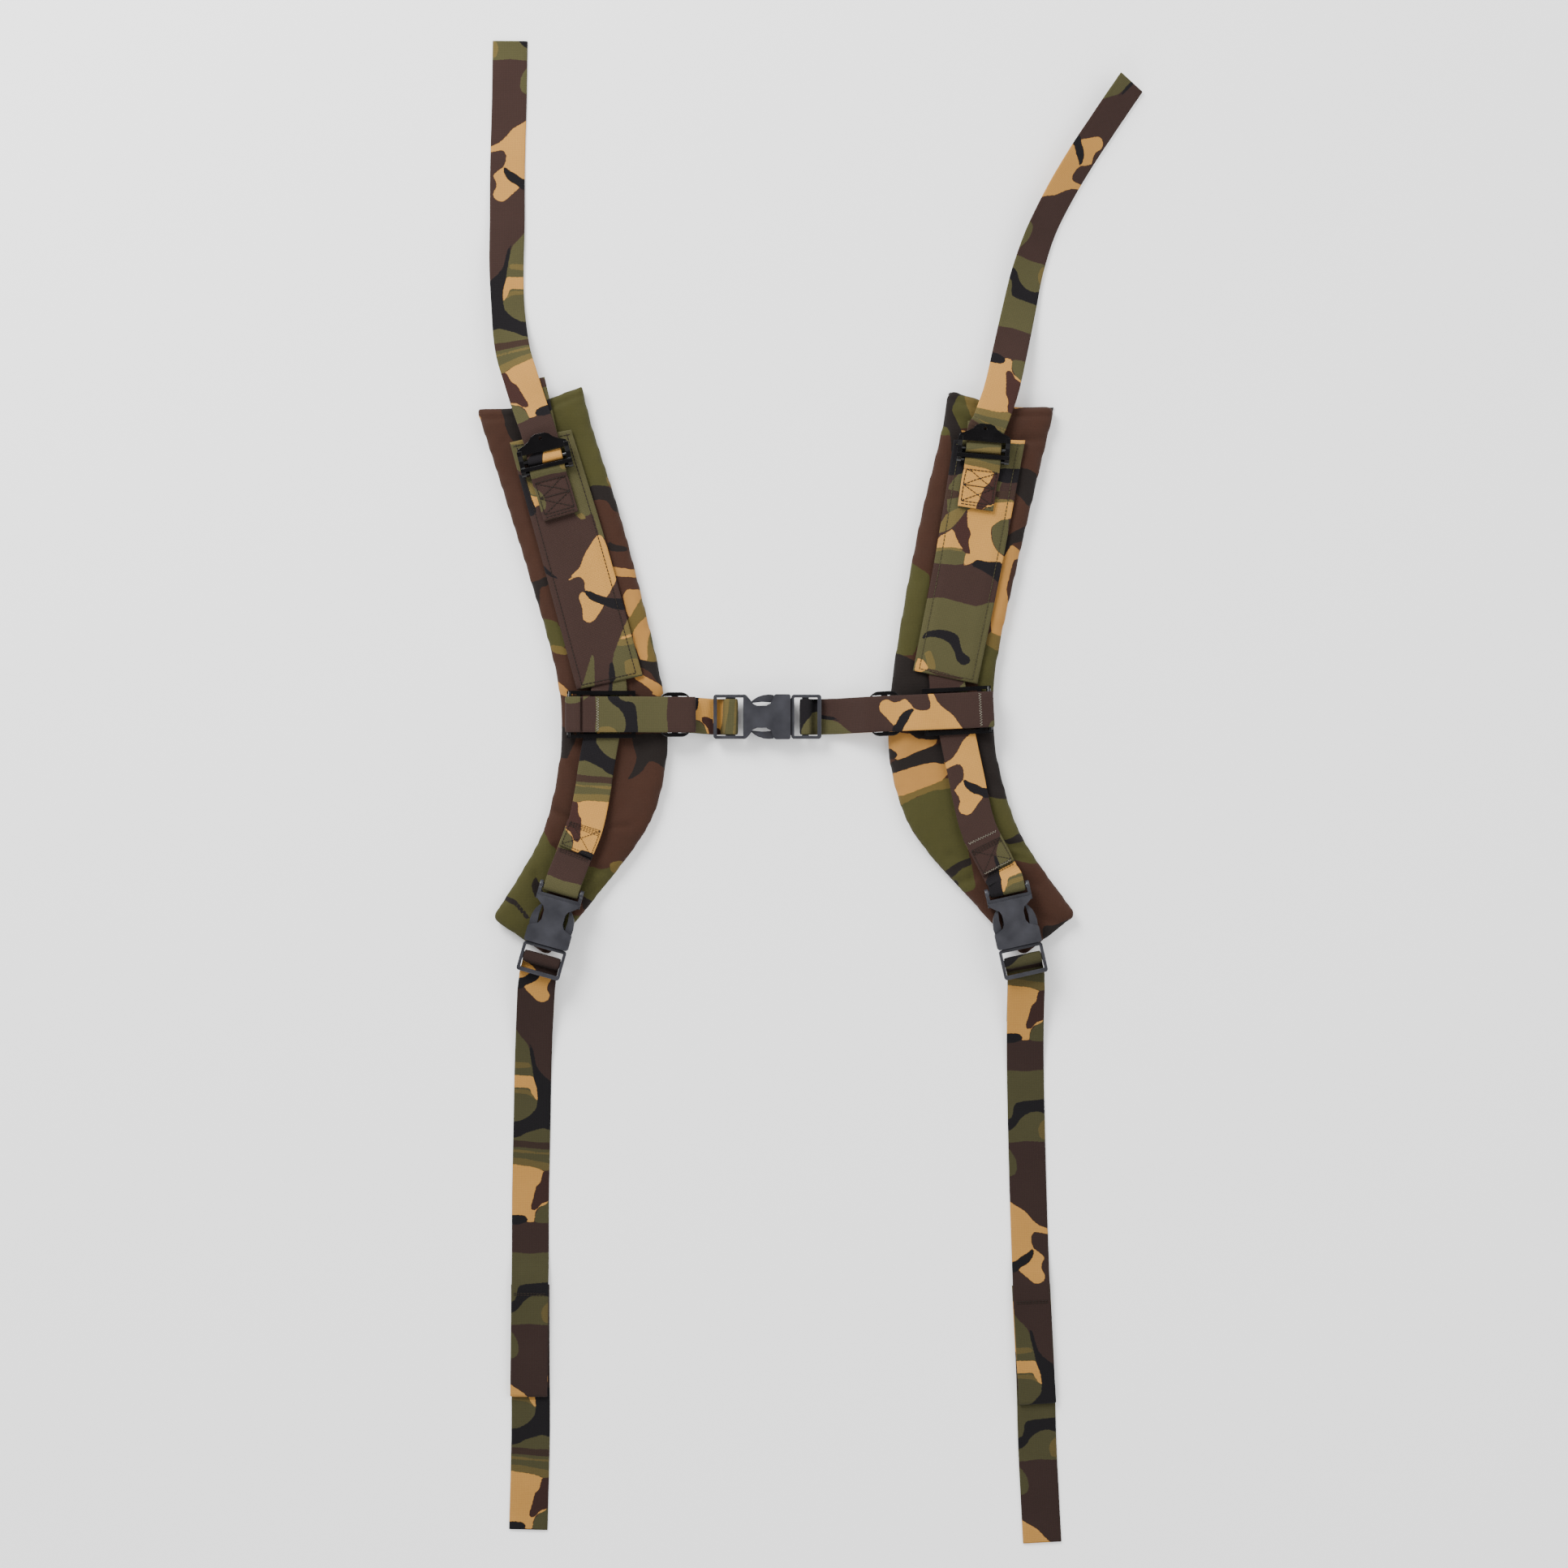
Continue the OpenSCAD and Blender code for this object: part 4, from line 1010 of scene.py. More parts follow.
RIGHT_PAD = {
    "green": [
        [(102, 279), (112, 279), (121, 282), (120, 262), (117, 256), (104, 254.6), (100, 262), (99, 268)],
        [(90, 258), (94, 257.4), (97.6, 253), (99, 249.6), (88, 251)],
        [(68, 163), (72, 160), (78, 156), (84, 151), (81, 130), (78, 110), (72, 96), (58, 97), (58, 115),
         (64, 140)],
        [(63, -9), (74, -4), (85, 1), (98, 4), (104, -14), (110, -38), (116, -66), (108, -70), (99, -60),
         (84, -44), (70, -24)],
        [(122, 104), (132, 99), (136, 92), (132, 72), (118, 71), (118, 88)],
        [(124, -4), (141, -4), (148, -16), (155, -30), (161, -40), (168, -49), (154, -50), (141, -46),
         (132, -28)],
    ],
    "ochre": [
        [(108, 277), (112, 279), (122, 281), (120, 262), (116, 257), (111, 267)],
        [(58, -4), (72, 1), (86, 7), (98, 10), (99, 3), (86, 1), (73, -4), (62, -10)],
        [(122, 105), (127, 113), (137, 112), (137, 101), (131, 99)],
    ],
    "tan": [
        [(104, 252.6), (108, 253), (113, 249), (108, 245), (105, 248)],
        [(143, 275), (150, 273.5), (156, 271.5), (150, 269.6), (143, 268.6)],
        [(131, 160), (134, 168), (141, 173), (147, 169), (153, 162), (152, 140), (144, 112), (136, 109),
         (127, 112), (127, 126), (130, 145)],
        [(50, 43), (70, 41), (88, 40), (89, 35), (84, 31), (74, 28), (62, 22), (52, 30)],
        [(52, 12), (66, 17), (78, 20), (95, 21), (97, 14), (92, 8), (82, 4), (66, -2), (56, -3)],
    ],
    "spot": [
        [(141.6, 159), (144, 163.5), (156, 163), (152, 140), (143, 112), (140, 117), (139, 132),
         (137.6, 142), (139.6, 151)],
    ],
    "black": [
        [(94, 286), (107, 282), (112, 278), (104, 277.6), (99.4, 268), (102, 261.6), (105.4, 254),
         (108, 247), (104, 236), (99, 238), (98.6, 247), (96.6, 255), (88, 259), (89, 270)],
        [(143, 227), (152, 226.4), (159, 222), (158, 207), (153, 200), (148, 206), (142, 212)],
        [(134, 163), (137, 178), (144, 183), (158, 189), (158, 181), (149, 176), (141, 173.4),
         (138, 168)],
        [(55, 97), (64, 96), (71, 93), (78, 88), (83, 80), (84, 66), (54, 66)],
        [(116, 48), (136, 48), (140, 22), (150, -4), (141, -5), (132, -4.4), (125, -2), (119, 20)],
        [(57, 13), (72, 17.6), (86, 20.8), (94, 20), (94, 36), (88, 33), (77, 29), (66, 24), (57, 21)],
        [(53, 31), (57, 30), (61.4, 27), (60.4, 24), (55, 23)],
        # this black blob along the sternum strap's lower edge is print with painted shadow of the strap
        # in it
        [(62, 47), (68, 42.6), (76, 37.4), (92, 37), (94, 46)],
        [(94, -56), (102, -50), (112, -46), (113, -50.5), (106, -54), (99, -60)],
        [(98, -63.4), (102, -61.6), (104.4, -64.6), (100, -68)],
        [(133, -34), (140, -32.6), (147, -28.6), (158, -30), (149, -34.4), (140, -36.4)],
        [(163, -94), (172, -93), (182, -89), (190, -90), (176, -100), (164, -104)],
    ],
}
PAD_PRINT = (LEFT_PAD, RIGHT_PAD)
LEFT_PANEL = {
    "olive": [
        [(-212, 247), (-166, 257), (-158, 238), (-150, 212), (-149, 198), (-156, 193), (-163, 192),
         (-166, 200), (-170, 214), (-178, 230), (-194, 232), (-203, 224), (-207, 230)],
        [(-200, 219), (-191, 221), (-189, 212), (-188, 205), (-195, 205), (-200, 211)],
        [(-124, 128), (-128, 120), (-131, 112), (-134, 105), (-137, 97), (-138, 90), (-137, 84),
         (-137, 74), (-118, 78), (-112, 84), (-118, 100), (-121, 115)],
        [(-152.6, 96), (-151, 94), (-150.6, 84), (-151, 70), (-162, 68), (-158.4, 77), (-155.6, 86)],
        [(-158, 215), (-150, 212), (-146, 190), (-142, 178), (-147, 178), (-149.5, 186), (-152, 194),
         (-158, 200)],
    ],
    "tan": [
        [(-169, 147.6), (-166, 152), (-161, 157), (-158, 165), (-154.6, 171), (-150.4, 177.6),
         (-148, 180), (-145, 178.4), (-141.6, 171), (-138, 158), (-135, 150), (-139, 141.6),
         (-142, 136.4), (-148, 138), (-153, 139.8), (-157.4, 141), (-157.4, 147), (-161, 150.8),
         (-165, 149.6)],
        [(-161.6, 136), (-159.4, 140), (-155.6, 138.4), (-151, 133.6), (-144, 131.4), (-146.6, 126),
         (-151, 120), (-155, 118.4), (-158.6, 120.8), (-159, 128)],
        [(-198, 207.4), (-190, 206), (-188, 201.6), (-191.6, 199.6), (-194, 197), (-197, 201)],
        [(-132, 108.8), (-128, 110), (-124, 111), (-122, 110.4), (-124.4, 109), (-128, 107.8),
         (-132.6, 106.6)],
    ],
    "black": [
        [(-158, 140.8), (-153, 140.2), (-148, 137.4), (-141, 135.6), (-128, 135), (-129, 127.4),
         (-138, 128.4), (-146, 131.4), (-152.4, 133.8), (-156, 137)],
        [(-205, 222), (-199, 220), (-195.6, 208), (-191, 196), (-196, 193), (-202, 207)],
        [(-140, 89.5), (-138.4, 91.5), (-137, 88), (-136, 79), (-139.6, 76), (-140.6, 82)],
        [(-190, 162), (-184, 156), (-176, 149), (-181, 150.6), (-186, 154)],
    ],
    "moss": [
        [(-200, 219), (-195, 216), (-189, 212), (-188, 207), (-194, 208), (-199, 213)],
        [(-163, 193.6), (-160, 195.2), (-158, 193.6), (-156.6, 191.4), (-160, 190.4)],
        [(-124, 127), (-128.5, 119), (-131.5, 112), (-134, 105), (-135, 102), (-123, 104), (-120, 113)],
        [(-129.5, 91.5), (-122, 93.5), (-117, 91), (-115, 83), (-128, 81.5)],
        [(-212, 246), (-196, 247), (-198, 243.6), (-209, 243)],
    ],
}
RIGHT_PANEL = {
    "olive": [
        [(96, 250), (152, 249), (149, 226), (140, 226), (133, 214), (131, 203), (104, 196), (96, 196),
         (97, 214), (108, 228), (106, 240)],
        [(139, 191), (131, 189.4), (127, 184.6), (127.6, 175), (131, 169), (136.6, 166)],
        [(85, 171), (94, 172), (104, 170.4), (108.6, 167), (109, 160.4), (102, 158.8), (84, 161)],
        [(78, 134), (92, 136), (100, 134), (116, 130), (130, 132), (122, 92), (119, 72), (68, 82),
         (74, 110)],
    ],
    "stripe": [
        [(94, 212), (104, 210), (104, 206), (94, 205)],
        [(130, 210), (146, 211), (146, 206.6), (130, 206)],
        [(78, 87), (92, 84), (106, 80), (106, 78.6), (90, 81.4)],
    ],
    "tan": [
        [(110, 197), (120, 199), (128, 202), (143, 202.6), (142, 192), (133, 190), (126.6, 184.6),
         (127, 175.6), (130.6, 168.6), (135.6, 164.6), (134, 159.4), (122, 161), (113, 160),
         (107.6, 158.4), (108.6, 166), (111, 172)],
        [(96.6, 182), (99.4, 183.6), (104, 177), (110, 169.4), (100, 171.2), (89, 171), (87, 174),
         (91, 179)],
        [(73, 85), (75.4, 93.4), (79.4, 92), (82.6, 86.6), (78, 84)],
        [(139, 246.6), (146, 247.6), (152, 247), (150, 243.6), (140, 243.8)],
    ],
    "spot": [
        [(109, 194.6), (104.4, 190), (101, 184), (101.6, 179), (104.6, 173), (108.6, 167), (112, 167),
         (110.6, 175), (112.6, 181), (110, 186), (109.6, 190)],
    ],
    "black": [
        [(112.6, 158.8), (116.6, 162.4), (124, 161), (134, 160.4), (133, 146), (127, 150.6),
         (121, 154.4)],
        [(78, 107), (81, 112), (90, 113.6), (98, 112.4), (103.6, 109), (105, 103), (106.6, 98),
         (112, 93.4), (111, 90), (106.6, 88.6), (102.6, 92), (101, 98), (97, 104.4), (91, 107.6),
         (84, 108.6)],
        [(130, 226), (140, 226), (150, 225.6), (148, 217), (138, 216), (130, 218)],
        [(94, 250), (103, 249), (108, 240), (109, 226), (104, 222), (94, 223)],
    ],
    "moss": [
        [(88, 181), (95, 194), (104, 198.6), (109, 197.4), (104, 190), (99, 184.6), (93, 182)],
        [(128, 204.6), (142, 204.4), (142, 200), (128, 200.6)],
        [(85, 171), (94, 172), (104, 170.4), (108.6, 167), (104.4, 168.4), (96, 169.6), (86, 168)],
        [(80, 97), (84, 99), (87, 92), (87.6, 86), (82, 86.6), (81.4, 92)],
    ],
}
PANEL_PRINT = (LEFT_PANEL, RIGHT_PANEL)


# ---- padded straps ----

OUTER_EDGE = [
    [-235.9, 270], [-213.5, 200], [-197.5, 148], [-184.5, 104], [-177.2, 70], [-176, 36],
    [-179.5, 8], [-187.5, -24], [-201, -51], [-225, -89],
]
INNER_EDGE = [
    [-183, -117], [-146, -71], [-121, -39], [-107, -14], [-99.6, 16], [-98.3, 42],
    [-101.5, 73], [-113, 125], [-131.5, 195], [-151, 256], [-158.6, 287],
]
TOP_EDGE = [[-184, 277], [-209, 270.5]]
MIRROR_X = -27
SPLAY = math.radians(4.1)
SPLAY_CENTRE = np.array([140, 162.5])
PAD_VOXEL = 4.0
FRAMES = 20
PRESSURE = 4
MOST_SWELL = 3.2
# the cloth is held below and, under the webbing and hardware, above these heights
HELD_BELOW, HELD_ABOVE = 2.4, 8
UNDER_WEBBING = 11.85
CROWN = 12.9
CROWN_BLEND = 1.2
LOWEST_CLOTH = 1.3
HEM_WIDTH, HEM_DEPTH, HEM_SOFTNESS = 7.5, 1.3, 1.3
PUCKER_DEPTH = 1.4
# where the hem's seam runs, and how far each sternum slider travels
TOP_SEAM = [[-236, 268], [-209, 270.5], [-184, 277], [-158, 287]]
SLIDER_REACH = ([-6.0, -37.5], [8.0, -37.2])
# puckers: from a place, to a place, depth, width
PUCKERS = (
    [((-182, -12), (-166, -19), 1.3, 2.4), ((-140, -24.5), (-128, -24), 0.9, 2.2),
     ((-178, -38), (-172, -46), 1.2, 3), ((-150, -54), (-136, -58), 1.1, 3),
     ((-141, -61), (-153, -69), 1.2, 3), ((-192, -58), (-185, -74), 1.2, 3.4),
     ((-166, 20), (-160, 12), 0.6, 3), ((-200, -84), (-210, -74), 0.8, 3.4),
     ((-196, 200), (-190, 186), 0.5, 3), ((-205, 262), (-199, 245), 0.9, 3.5)],
    [((140, -37), (154, -41), 1.2, 2.6), ((141, -45), (150, -46), 0.9, 2.4),
     ((104, -53), (114, -60), 1.2, 3), ((100, -65), (112, -61), 1.1, 3),
     ((110, -48), (98, -44), 0.9, 3), ((144, -58), (158, -66), 0.8, 3.5),
     ((127, 8), (135, 2), 0.6, 3), ((160, -88), (176, -92), 0.8, 3.5),
     ((149, 246), (164, 247), 1.0, 2.4), ((104, 262), (116, 256), 0.8, 3)],
)


def to_side(points, side):
    """Takes places on the left pad to its mirrored and turned twin on the right."""
    points = np.asarray(points, float)
    if side == LEFT:
        return points
    flipped = np.stack([2 * MIRROR_X - points[:, 0], points[:, 1]], 1) - SPLAY_CENTRE
    turn = np.array([[math.cos(SPLAY), -math.sin(SPLAY)], [math.sin(SPLAY), math.cos(SPLAY)]])
    return flipped @ turn.T + SPLAY_CENTRE


def even_outline(outline, pitch):
    closed = np.vstack([outline, outline[:1]])
    run = np.concatenate([[0], np.cumsum(np.linalg.norm(np.diff(closed, axis=0), axis=1))])
    at = np.linspace(0, run[-1], int(run[-1] / pitch), endpoint=False)
    return np.stack([np.interp(at, run, closed[:, axis]) for axis in (0, 1)], 1)


def pad_outline(side):
    corners = np.vstack([smooth(OUTER_EDGE, 3), smooth(INNER_EDGE, 3), TOP_EDGE])
    line = even_outline(to_side(corners, side), 2.0)
    for _ in range(3):
        line = (np.roll(line, 1, 0) + 2 * line + np.roll(line, -1, 0)) / 4
    return line


def smooth_step(value, low, high):
    t = np.clip((value - low) / (high - low), 0, 1)
    return t * t * (3 - 2 * t)


def path_distance(points, path):
    best = np.full(len(points), 1e9)
    for a, b in zip(path[:-1], path[1:]):
        best = np.minimum(best, segment_distance(points, a, b))
    return best


def signed_area(outline):
    x, y = outline[:, 0], outline[:, 1]
    return np.sum(x * np.roll(y, -1) - np.roll(x, -1) * y) / 2


def shrink(outline, by):
    """Moves a closed outline inwards by a small distance."""
    ahead = np.roll(outline, -1, 0) - np.roll(outline, 1, 0)
    ahead /= np.linalg.norm(ahead, axis=1)[:, None]
    inward = np.stack([-ahead[:, 1], ahead[:, 0]], 1)
    return outline + inward * by * (1 if signed_area(outline) > 0 else -1)


def prism(name, outline, low, high):
    bm = bmesh.new()
    base = [bm.verts.new((x * MM, y * MM, low * MM)) for x, y in outline]
    face = bm.faces.new(base)
    made = bmesh.ops.extrude_face_region(bm, geom=[face])["geom"]
    for item in made:
        if isinstance(item, bmesh.types.BMVert):
            item.co.z = high * MM
    bmesh.ops.recalc_face_normals(bm, faces=bm.faces)
    bmesh.ops.triangulate(bm, faces=bm.faces)
    mesh = bpy.data.meshes.new(name)
    bm.to_mesh(mesh)
    bm.free()
    piece = bpy.data.objects.new(name, mesh)
    bpy.context.scene.collection.objects.link(piece)
    return piece


def baked(piece):
    """Applies every modifier of a piece."""
    bpy.context.view_layer.update()
    mesh = bpy.data.meshes.new_from_object(
        piece.evaluated_get(bpy.context.evaluated_depsgraph_get()))
    piece.modifiers.clear()
    piece.data = mesh


def points_of(mesh):
    co = np.zeros(len(mesh.vertices) * 3)
    mesh.vertices.foreach_get("co", co)
    return co.reshape(-1, 3) / MM


def set_points(mesh, points):
    mesh.vertices.foreach_set("co", (np.asarray(points) * MM).astype(np.float32).ravel())
    mesh.update()


def inflate(piece, held):
    """Blows the cushion up by cloth simulation, held down where held is true."""
    before = points_of(piece.data)
    group = piece.vertex_groups.new(name="held")
    group.add([int(i) for i in np.flatnonzero(held)], 1.0, "REPLACE")
    cloth = piece.modifiers.new("cloth", "CLOTH")
    cloth.settings.use_pressure = True
    cloth.settings.uniform_pressure_force = PRESSURE
    cloth.settings.vertex_group_mass = "held"
    cloth.settings.quality = 4
    cloth.settings.tension_stiffness = 12
    cloth.settings.compression_stiffness = 12
    cloth.settings.bending_stiffness = 0.4
    cloth.settings.effector_weights.gravity = 0
    cloth.point_cache.frame_end = FRAMES
    for frame_number in range(1, FRAMES + 1):
        bpy.context.scene.frame_set(frame_number)
    ready = piece.evaluated_get(bpy.context.evaluated_depsgraph_get())
    after = points_of(ready.data)
    piece.modifiers.clear()
    piece.vertex_groups.clear()
    bpy.context.scene.frame_set(1)
    move = after - before
    reach = np.linalg.norm(move, axis=1)
    move *= (MOST_SWELL * np.tanh(reach / MOST_SWELL) / np.maximum(reach, 1e-6))[:, None]
    set_points(piece.data, before + move)


def hardware_zone(points, side):
    """1 where webbing or hardware lies on the pad, fading to 0 beside it."""
    name = SIDES[side]
    centre = strap_rows["centre", side]["place"][:, :2]
    zone = 1 - smooth_step(path_distance(points, centre), 12.5, 17)
    slider = np.array(SLIDER_AT[side], float)
    travelled = segment_distance(points, slider, slider + SLIDER_REACH[side])
    zone = np.maximum(zone, 1 - smooth_step(travelled, 24, 34))
    low, high = (np.array(corner)[:2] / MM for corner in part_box(name + "_lower_female"))
    middle = (low + high) / 2
    zone = np.maximum(zone, 1 - smooth_step(np.linalg.norm(points - middle, axis=1), 26, 34))
    panel = outline_distance(points, np.array(PANEL_CORNERS[side], float))
    return np.maximum(zone, 1 - smooth_step(panel, -1, 5))


def shape_pad(piece, side, outline):
    """Seams, puckers and the hemmed top end, on the swollen cushion."""
    p = points_of(piece.data)
    flat = p[:, :2]
    inside = -outline_distance(flat, outline)
    covered = hardware_zone(flat, side)
    ceiling = CROWN + (UNDER_WEBBING - CROWN) * covered
    over = p[:, 2] - ceiling
    p[:, 2] = np.where((p[:, 2] > 6) & (over > -CROWN_BLEND),
                       ceiling - 0.35 * np.exp(-(over + CROWN_BLEND)), p[:, 2])
    seam = path_distance(flat, to_side(TOP_SEAM, side))
    dent = HEM_DEPTH * np.exp(-((seam - HEM_WIDTH) / HEM_SOFTNESS) ** 2)
    for start, end, depth, width in PUCKERS[side]:
        reach = segment_distance(flat, np.array(start, float), np.array(end, float))
        dent += PUCKER_DEPTH * depth * np.exp(-(reach / width) ** 2)
    ripple = np.array([0.8 * noise.noise(Vector((x / 17, y / 23, side * 9.0)))
                       + 0.25 * noise.noise(Vector((x / 6, y / 7, side * 5.0)))
                       for x, y in flat])
    p[:, 2] += smooth_step(p[:, 2], 5, 9) * (ripple * (1 - covered) - dent)
    p[:, 2] = np.maximum(p[:, 2], LOWEST_CLOTH)
    out = np.clip(-inside - 0.3, 0, None)
    if out.any():
        centre = outline.mean(0)
        pull = (centre - flat) / np.linalg.norm(centre - flat, axis=1)[:, None]
        p[:, :2] += pull * out[:, None]
    set_points(piece.data, p)


def add_pad(side):
    name = SIDES[side]
    outline = pad_outline(side)
    pad = prism(name + "_padding", shrink(outline, 1.3), 1.2, 10.2)
    remesh = pad.modifiers.new("voxels", "REMESH")
    remesh.mode = "VOXEL"
    remesh.voxel_size = PAD_VOXEL * MM
    baked(pad)
    p = points_of(pad.data)
    pressed = (hardware_zone(p[:, :2], side) > 0.8) & (p[:, 2] > HELD_ABOVE)
    inflate(pad, (p[:, 2] < HELD_BELOW) | pressed)
    finer = pad.modifiers.new("finer", "SUBSURF")
    finer.levels = finer.render_levels = 1
    baked(pad)
    shape_pad(pad, side, outline)
    flat = points_of(pad.data)[:, :2]
    layers = [nearest(flat, PAD_PRINT[side][layer]) for layer in PAD_LAYERS]
    set_print(pad.data, layers + [np.full(len(flat), BLOB_REACH)])
    pad.data.materials.append(PAD_CLOTH)
    pad.data.polygons.foreach_set("use_smooth", [True] * len(pad.data.polygons))
    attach(pad, name + "_pad")
    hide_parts(name + "_front_cover", name + "_foam_core")
    return outline


BACK_INSET = 2.2
BACK_RINGS = ((0.4, 1.6), (0, 1.1), (0.2, 0.4), (0.8, 0.1))


def add_backing(side, outline):
    """The plain cloth on the wearer's side, turned in at the edge seam."""
    name = SIDES[side]
    edge = shrink(outline, BACK_INSET)
    edge = even_outline(edge[outline_distance(edge, outline) < 0.2 - BACK_INSET], 2.0)
    count = len(edge)
    points = [(x, y, z) for by, z in BACK_RINGS for x, y in shrink(edge, by)]
    faces = tube_faces(len(BACK_RINGS), count)
    last = (len(BACK_RINGS) - 1) * count
    faces.append(tuple(last + i for i in range(count)))
    faces.append(tuple(reversed(range(count))))
    back = new_piece(name + "_backing", points, faces, BACKING, name + "_pad")
    bm = bmesh.new()
    bm.from_mesh(back.data)
    bmesh.ops.recalc_face_normals(bm, faces=bm.faces)
    for corner in bm.faces:
        corner.smooth = len(corner.verts) == 4
    bmesh.ops.triangulate(bm, faces=[f for f in bm.faces if len(f.verts) > 4])
    bm.to_mesh(back.data)
    bm.free()
    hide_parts(name + "_back_cover")


PANEL_COLUMNS = 34
PANEL_ROWS = 120
PANEL_THICK = 1.1
# the panel's flat size, its length without hems, what shows of it, and its weave's size
PANEL_SPAN = (45, 170)
PANEL_MAP = (48, 175)
PANEL_HEM = 6


def panel_surface(side, u, v):
    """Places on a panel's middle layer; u is across from 0 to 1 and v down from 0 to 1."""
    corners = np.array(PANEL_CORNERS[side], float)
    left_line = smooth([corners[0], corners[5], corners[4]], 12)
    right_line = smooth([corners[1], corners[2], corners[3]], 12)
    steps = np.linspace(0, 1, len(left_line))
    ends = [np.stack([np.interp(v, steps, line[:, axis]) for axis in (0, 1)], 1)
            for line in (left_line, right_line)]
    flat = ends[0] * (1 - u[:, None]) + ends[1] * u[:, None]
    centre = strap_rows["centre", side]["place"][:, :2]
    over = 1 - smooth_step(path_distance(flat, centre), 13.6, 22)
    height = PAD_T + 0.75 + (PANEL_Z + WEB_T / 2 - PAD_T - 0.75) * over
    height += 0.08 * np.sin(v * 60 + u * 3) * (1 - over)
    return np.column_stack([flat, height])


def add_panel(side):
    name = SIDES[side]
    u, v = (grid.ravel() for grid in np.meshgrid(np.linspace(0, 1, PANEL_COLUMNS + 1),
                                                 np.linspace(0, 1, PANEL_ROWS + 1)))
    middle = panel_surface(side, u, v)
    wide, long = PANEL_SPAN
    edge = np.minimum.reduce([u * wide, (1 - u) * wide, v * long, (1 - v) * long])
    thick = (PANEL_THICK / 2 * np.clip(0.25 + edge / 0.9, 0, 1)
             + 0.25 * (v * long < PANEL_HEM))
    top = middle + np.column_stack([np.zeros((len(u), 2)), thick])
    bottom = middle - np.column_stack([np.zeros((len(u), 2)), np.minimum(thick, 0.55)])
    count, row = len(u), PANEL_COLUMNS + 1
    faces = []
    for i in range(PANEL_ROWS):
        for j in range(PANEL_COLUMNS):
            a = i * row + j
            faces.append((a, a + row, a + row + 1, a + 1))
            faces.append((count + a, count + a + 1, count + a + row + 1, count + a + row))
    rim = ([j for j in range(row)] + [i * row + row - 1 for i in range(1, PANEL_ROWS + 1)]
           + [PANEL_ROWS * row + j for j in range(row - 2, -1, -1)]
           + [i * row for i in range(PANEL_ROWS - 1, 0, -1)])
    for k in range(len(rim)):
        a, b = rim[k], rim[(k + 1) % len(rim)]
        faces.append((a, b, count + b, count + a))
    points = np.vstack([top, bottom])
    panel = new_piece(name + "_panel", points, faces, WEBBING, name + "_pad")
    set_print(panel.data, [nearest(points[:, :2], PANEL_PRINT[side].get(layer, ()))
                           for layer in PRINT_LAYERS])
    set_strap_map(panel.data, np.tile(np.column_stack([u, v]) * PANEL_MAP, (2, 1)))
    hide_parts(name + "_wide_panel")


# ---- stitching ----

THREAD_LIFT = 0.05
THREAD_SIDES = 6
STITCH_ARC = ((0, -0.3), (0.18, 0.35), (0.5, 0.55), (0.82, 0.35), (1, -0.3))


def stitch_mesh(lines, pitch, gap, radius):
    """Short raised stitches along each line of points with their up directions."""
    points, faces = [], []
    for line, ups in lines:
        line, ups = np.asarray(line, float), np.asarray(ups, float)
        run = np.concatenate([[0], np.cumsum(np.linalg.norm(np.diff(line, axis=0), axis=1))])
        count = max(int(round(run[-1] / pitch)), 1)
        length = run[-1] / count
        for n in range(count):
            first, last = n * length + gap / 2, (n + 1) * length - gap / 2
            rings = []
            for t, lift in STITCH_ARC:
                at = first + (last - first) * t
                place = np.array([np.interp(at, run, line[:, k]) for k in range(3)])
                up = unit([np.interp(at, run, ups[:, k]) for k in range(3)])
                rings.append((place + up * lift * radius, up))
            ahead = unit(rings[-1][0] - rings[0][0])
            base = len(points)
            for place, up in rings:
                beside = unit(np.cross(ahead, up))
                for k in range(THREAD_SIDES):
                    angle = 2 * math.pi * k / THREAD_SIDES
                    points.append(place + radius * (beside * math.cos(angle)
                                                    + up * math.sin(angle)))
            faces += tube_faces(len(rings), THREAD_SIDES, base)
            last = base + (len(rings) - 1) * THREAD_SIDES
            faces.append(tuple(base + k for k in reversed(range(THREAD_SIDES))))
            faces.append(tuple(last + k for k in range(THREAD_SIDES)))
    return points, faces


def add_threads(name, body, lines, thread, pitch=2.6, gap=0.5, radius=0.3):
    points, faces = stitch_mesh(lines, pitch, gap, radius)
    return new_piece(name, points, faces, thread, body)


def strap_line(rows, marks, steps=6):
    """A line through (distance, side) marks on a strap, with the strap's up directions."""
    points, ups = [], []
    for (a, b) in zip(marks[:-1], marks[1:]):
        for k in range(steps):
            distance, side = (np.array(a) + (np.array(b) - np.array(a)) * k / (steps - 1))
            middle = on_strap(rows, distance, side, 0)
            up = on_strap(rows, distance, side, 1) - middle
            up *= -1 if up[2] < 0 else 1
            points.append(middle + up * (WEB_T / 2 + THREAD_LIFT))
            ups.append(up)
    return points, ups


def box_marks(first, last, half):
    return [(first, -half), (last, -half), (last, half), (first, half), (first, -half)]


def crossed_box(rows, first, last, half):
    """A sewn box with both diagonals."""
    return [strap_line(rows, marks) for marks in (
        box_marks(first, last, half), [(first, -half), (last, half)],
        [(first, half), (last, -half)])]


def cross_rows(rows, first, step, count, half):
    """Straight rows of stitches across a strap."""
    return [strap_line(rows, [(first + step * k, -half), (first + step * k, half)])
            for k in range(count)]


def zigzag_marks(distance, half, teeth, depth):
    return [(distance + depth * (0.5 if k % 2 else -0.5), -half + 2 * half * k / teeth)
            for k in range(teeth + 1)]


def panel_line(side, marks, steps=24):
    points = []
    for a, b in zip(marks[:-1], marks[1:]):
        for k in range(steps):
            u, v = np.array(a) + (np.array(b) - np.array(a)) * k / (steps - 1)
            surface = panel_surface(side, np.array([u]), np.array([v]))[0]
            points.append(surface + [0, 0, PANEL_THICK / 2 + THREAD_LIFT])
    return points, [[0, 0, 1]] * len(points)


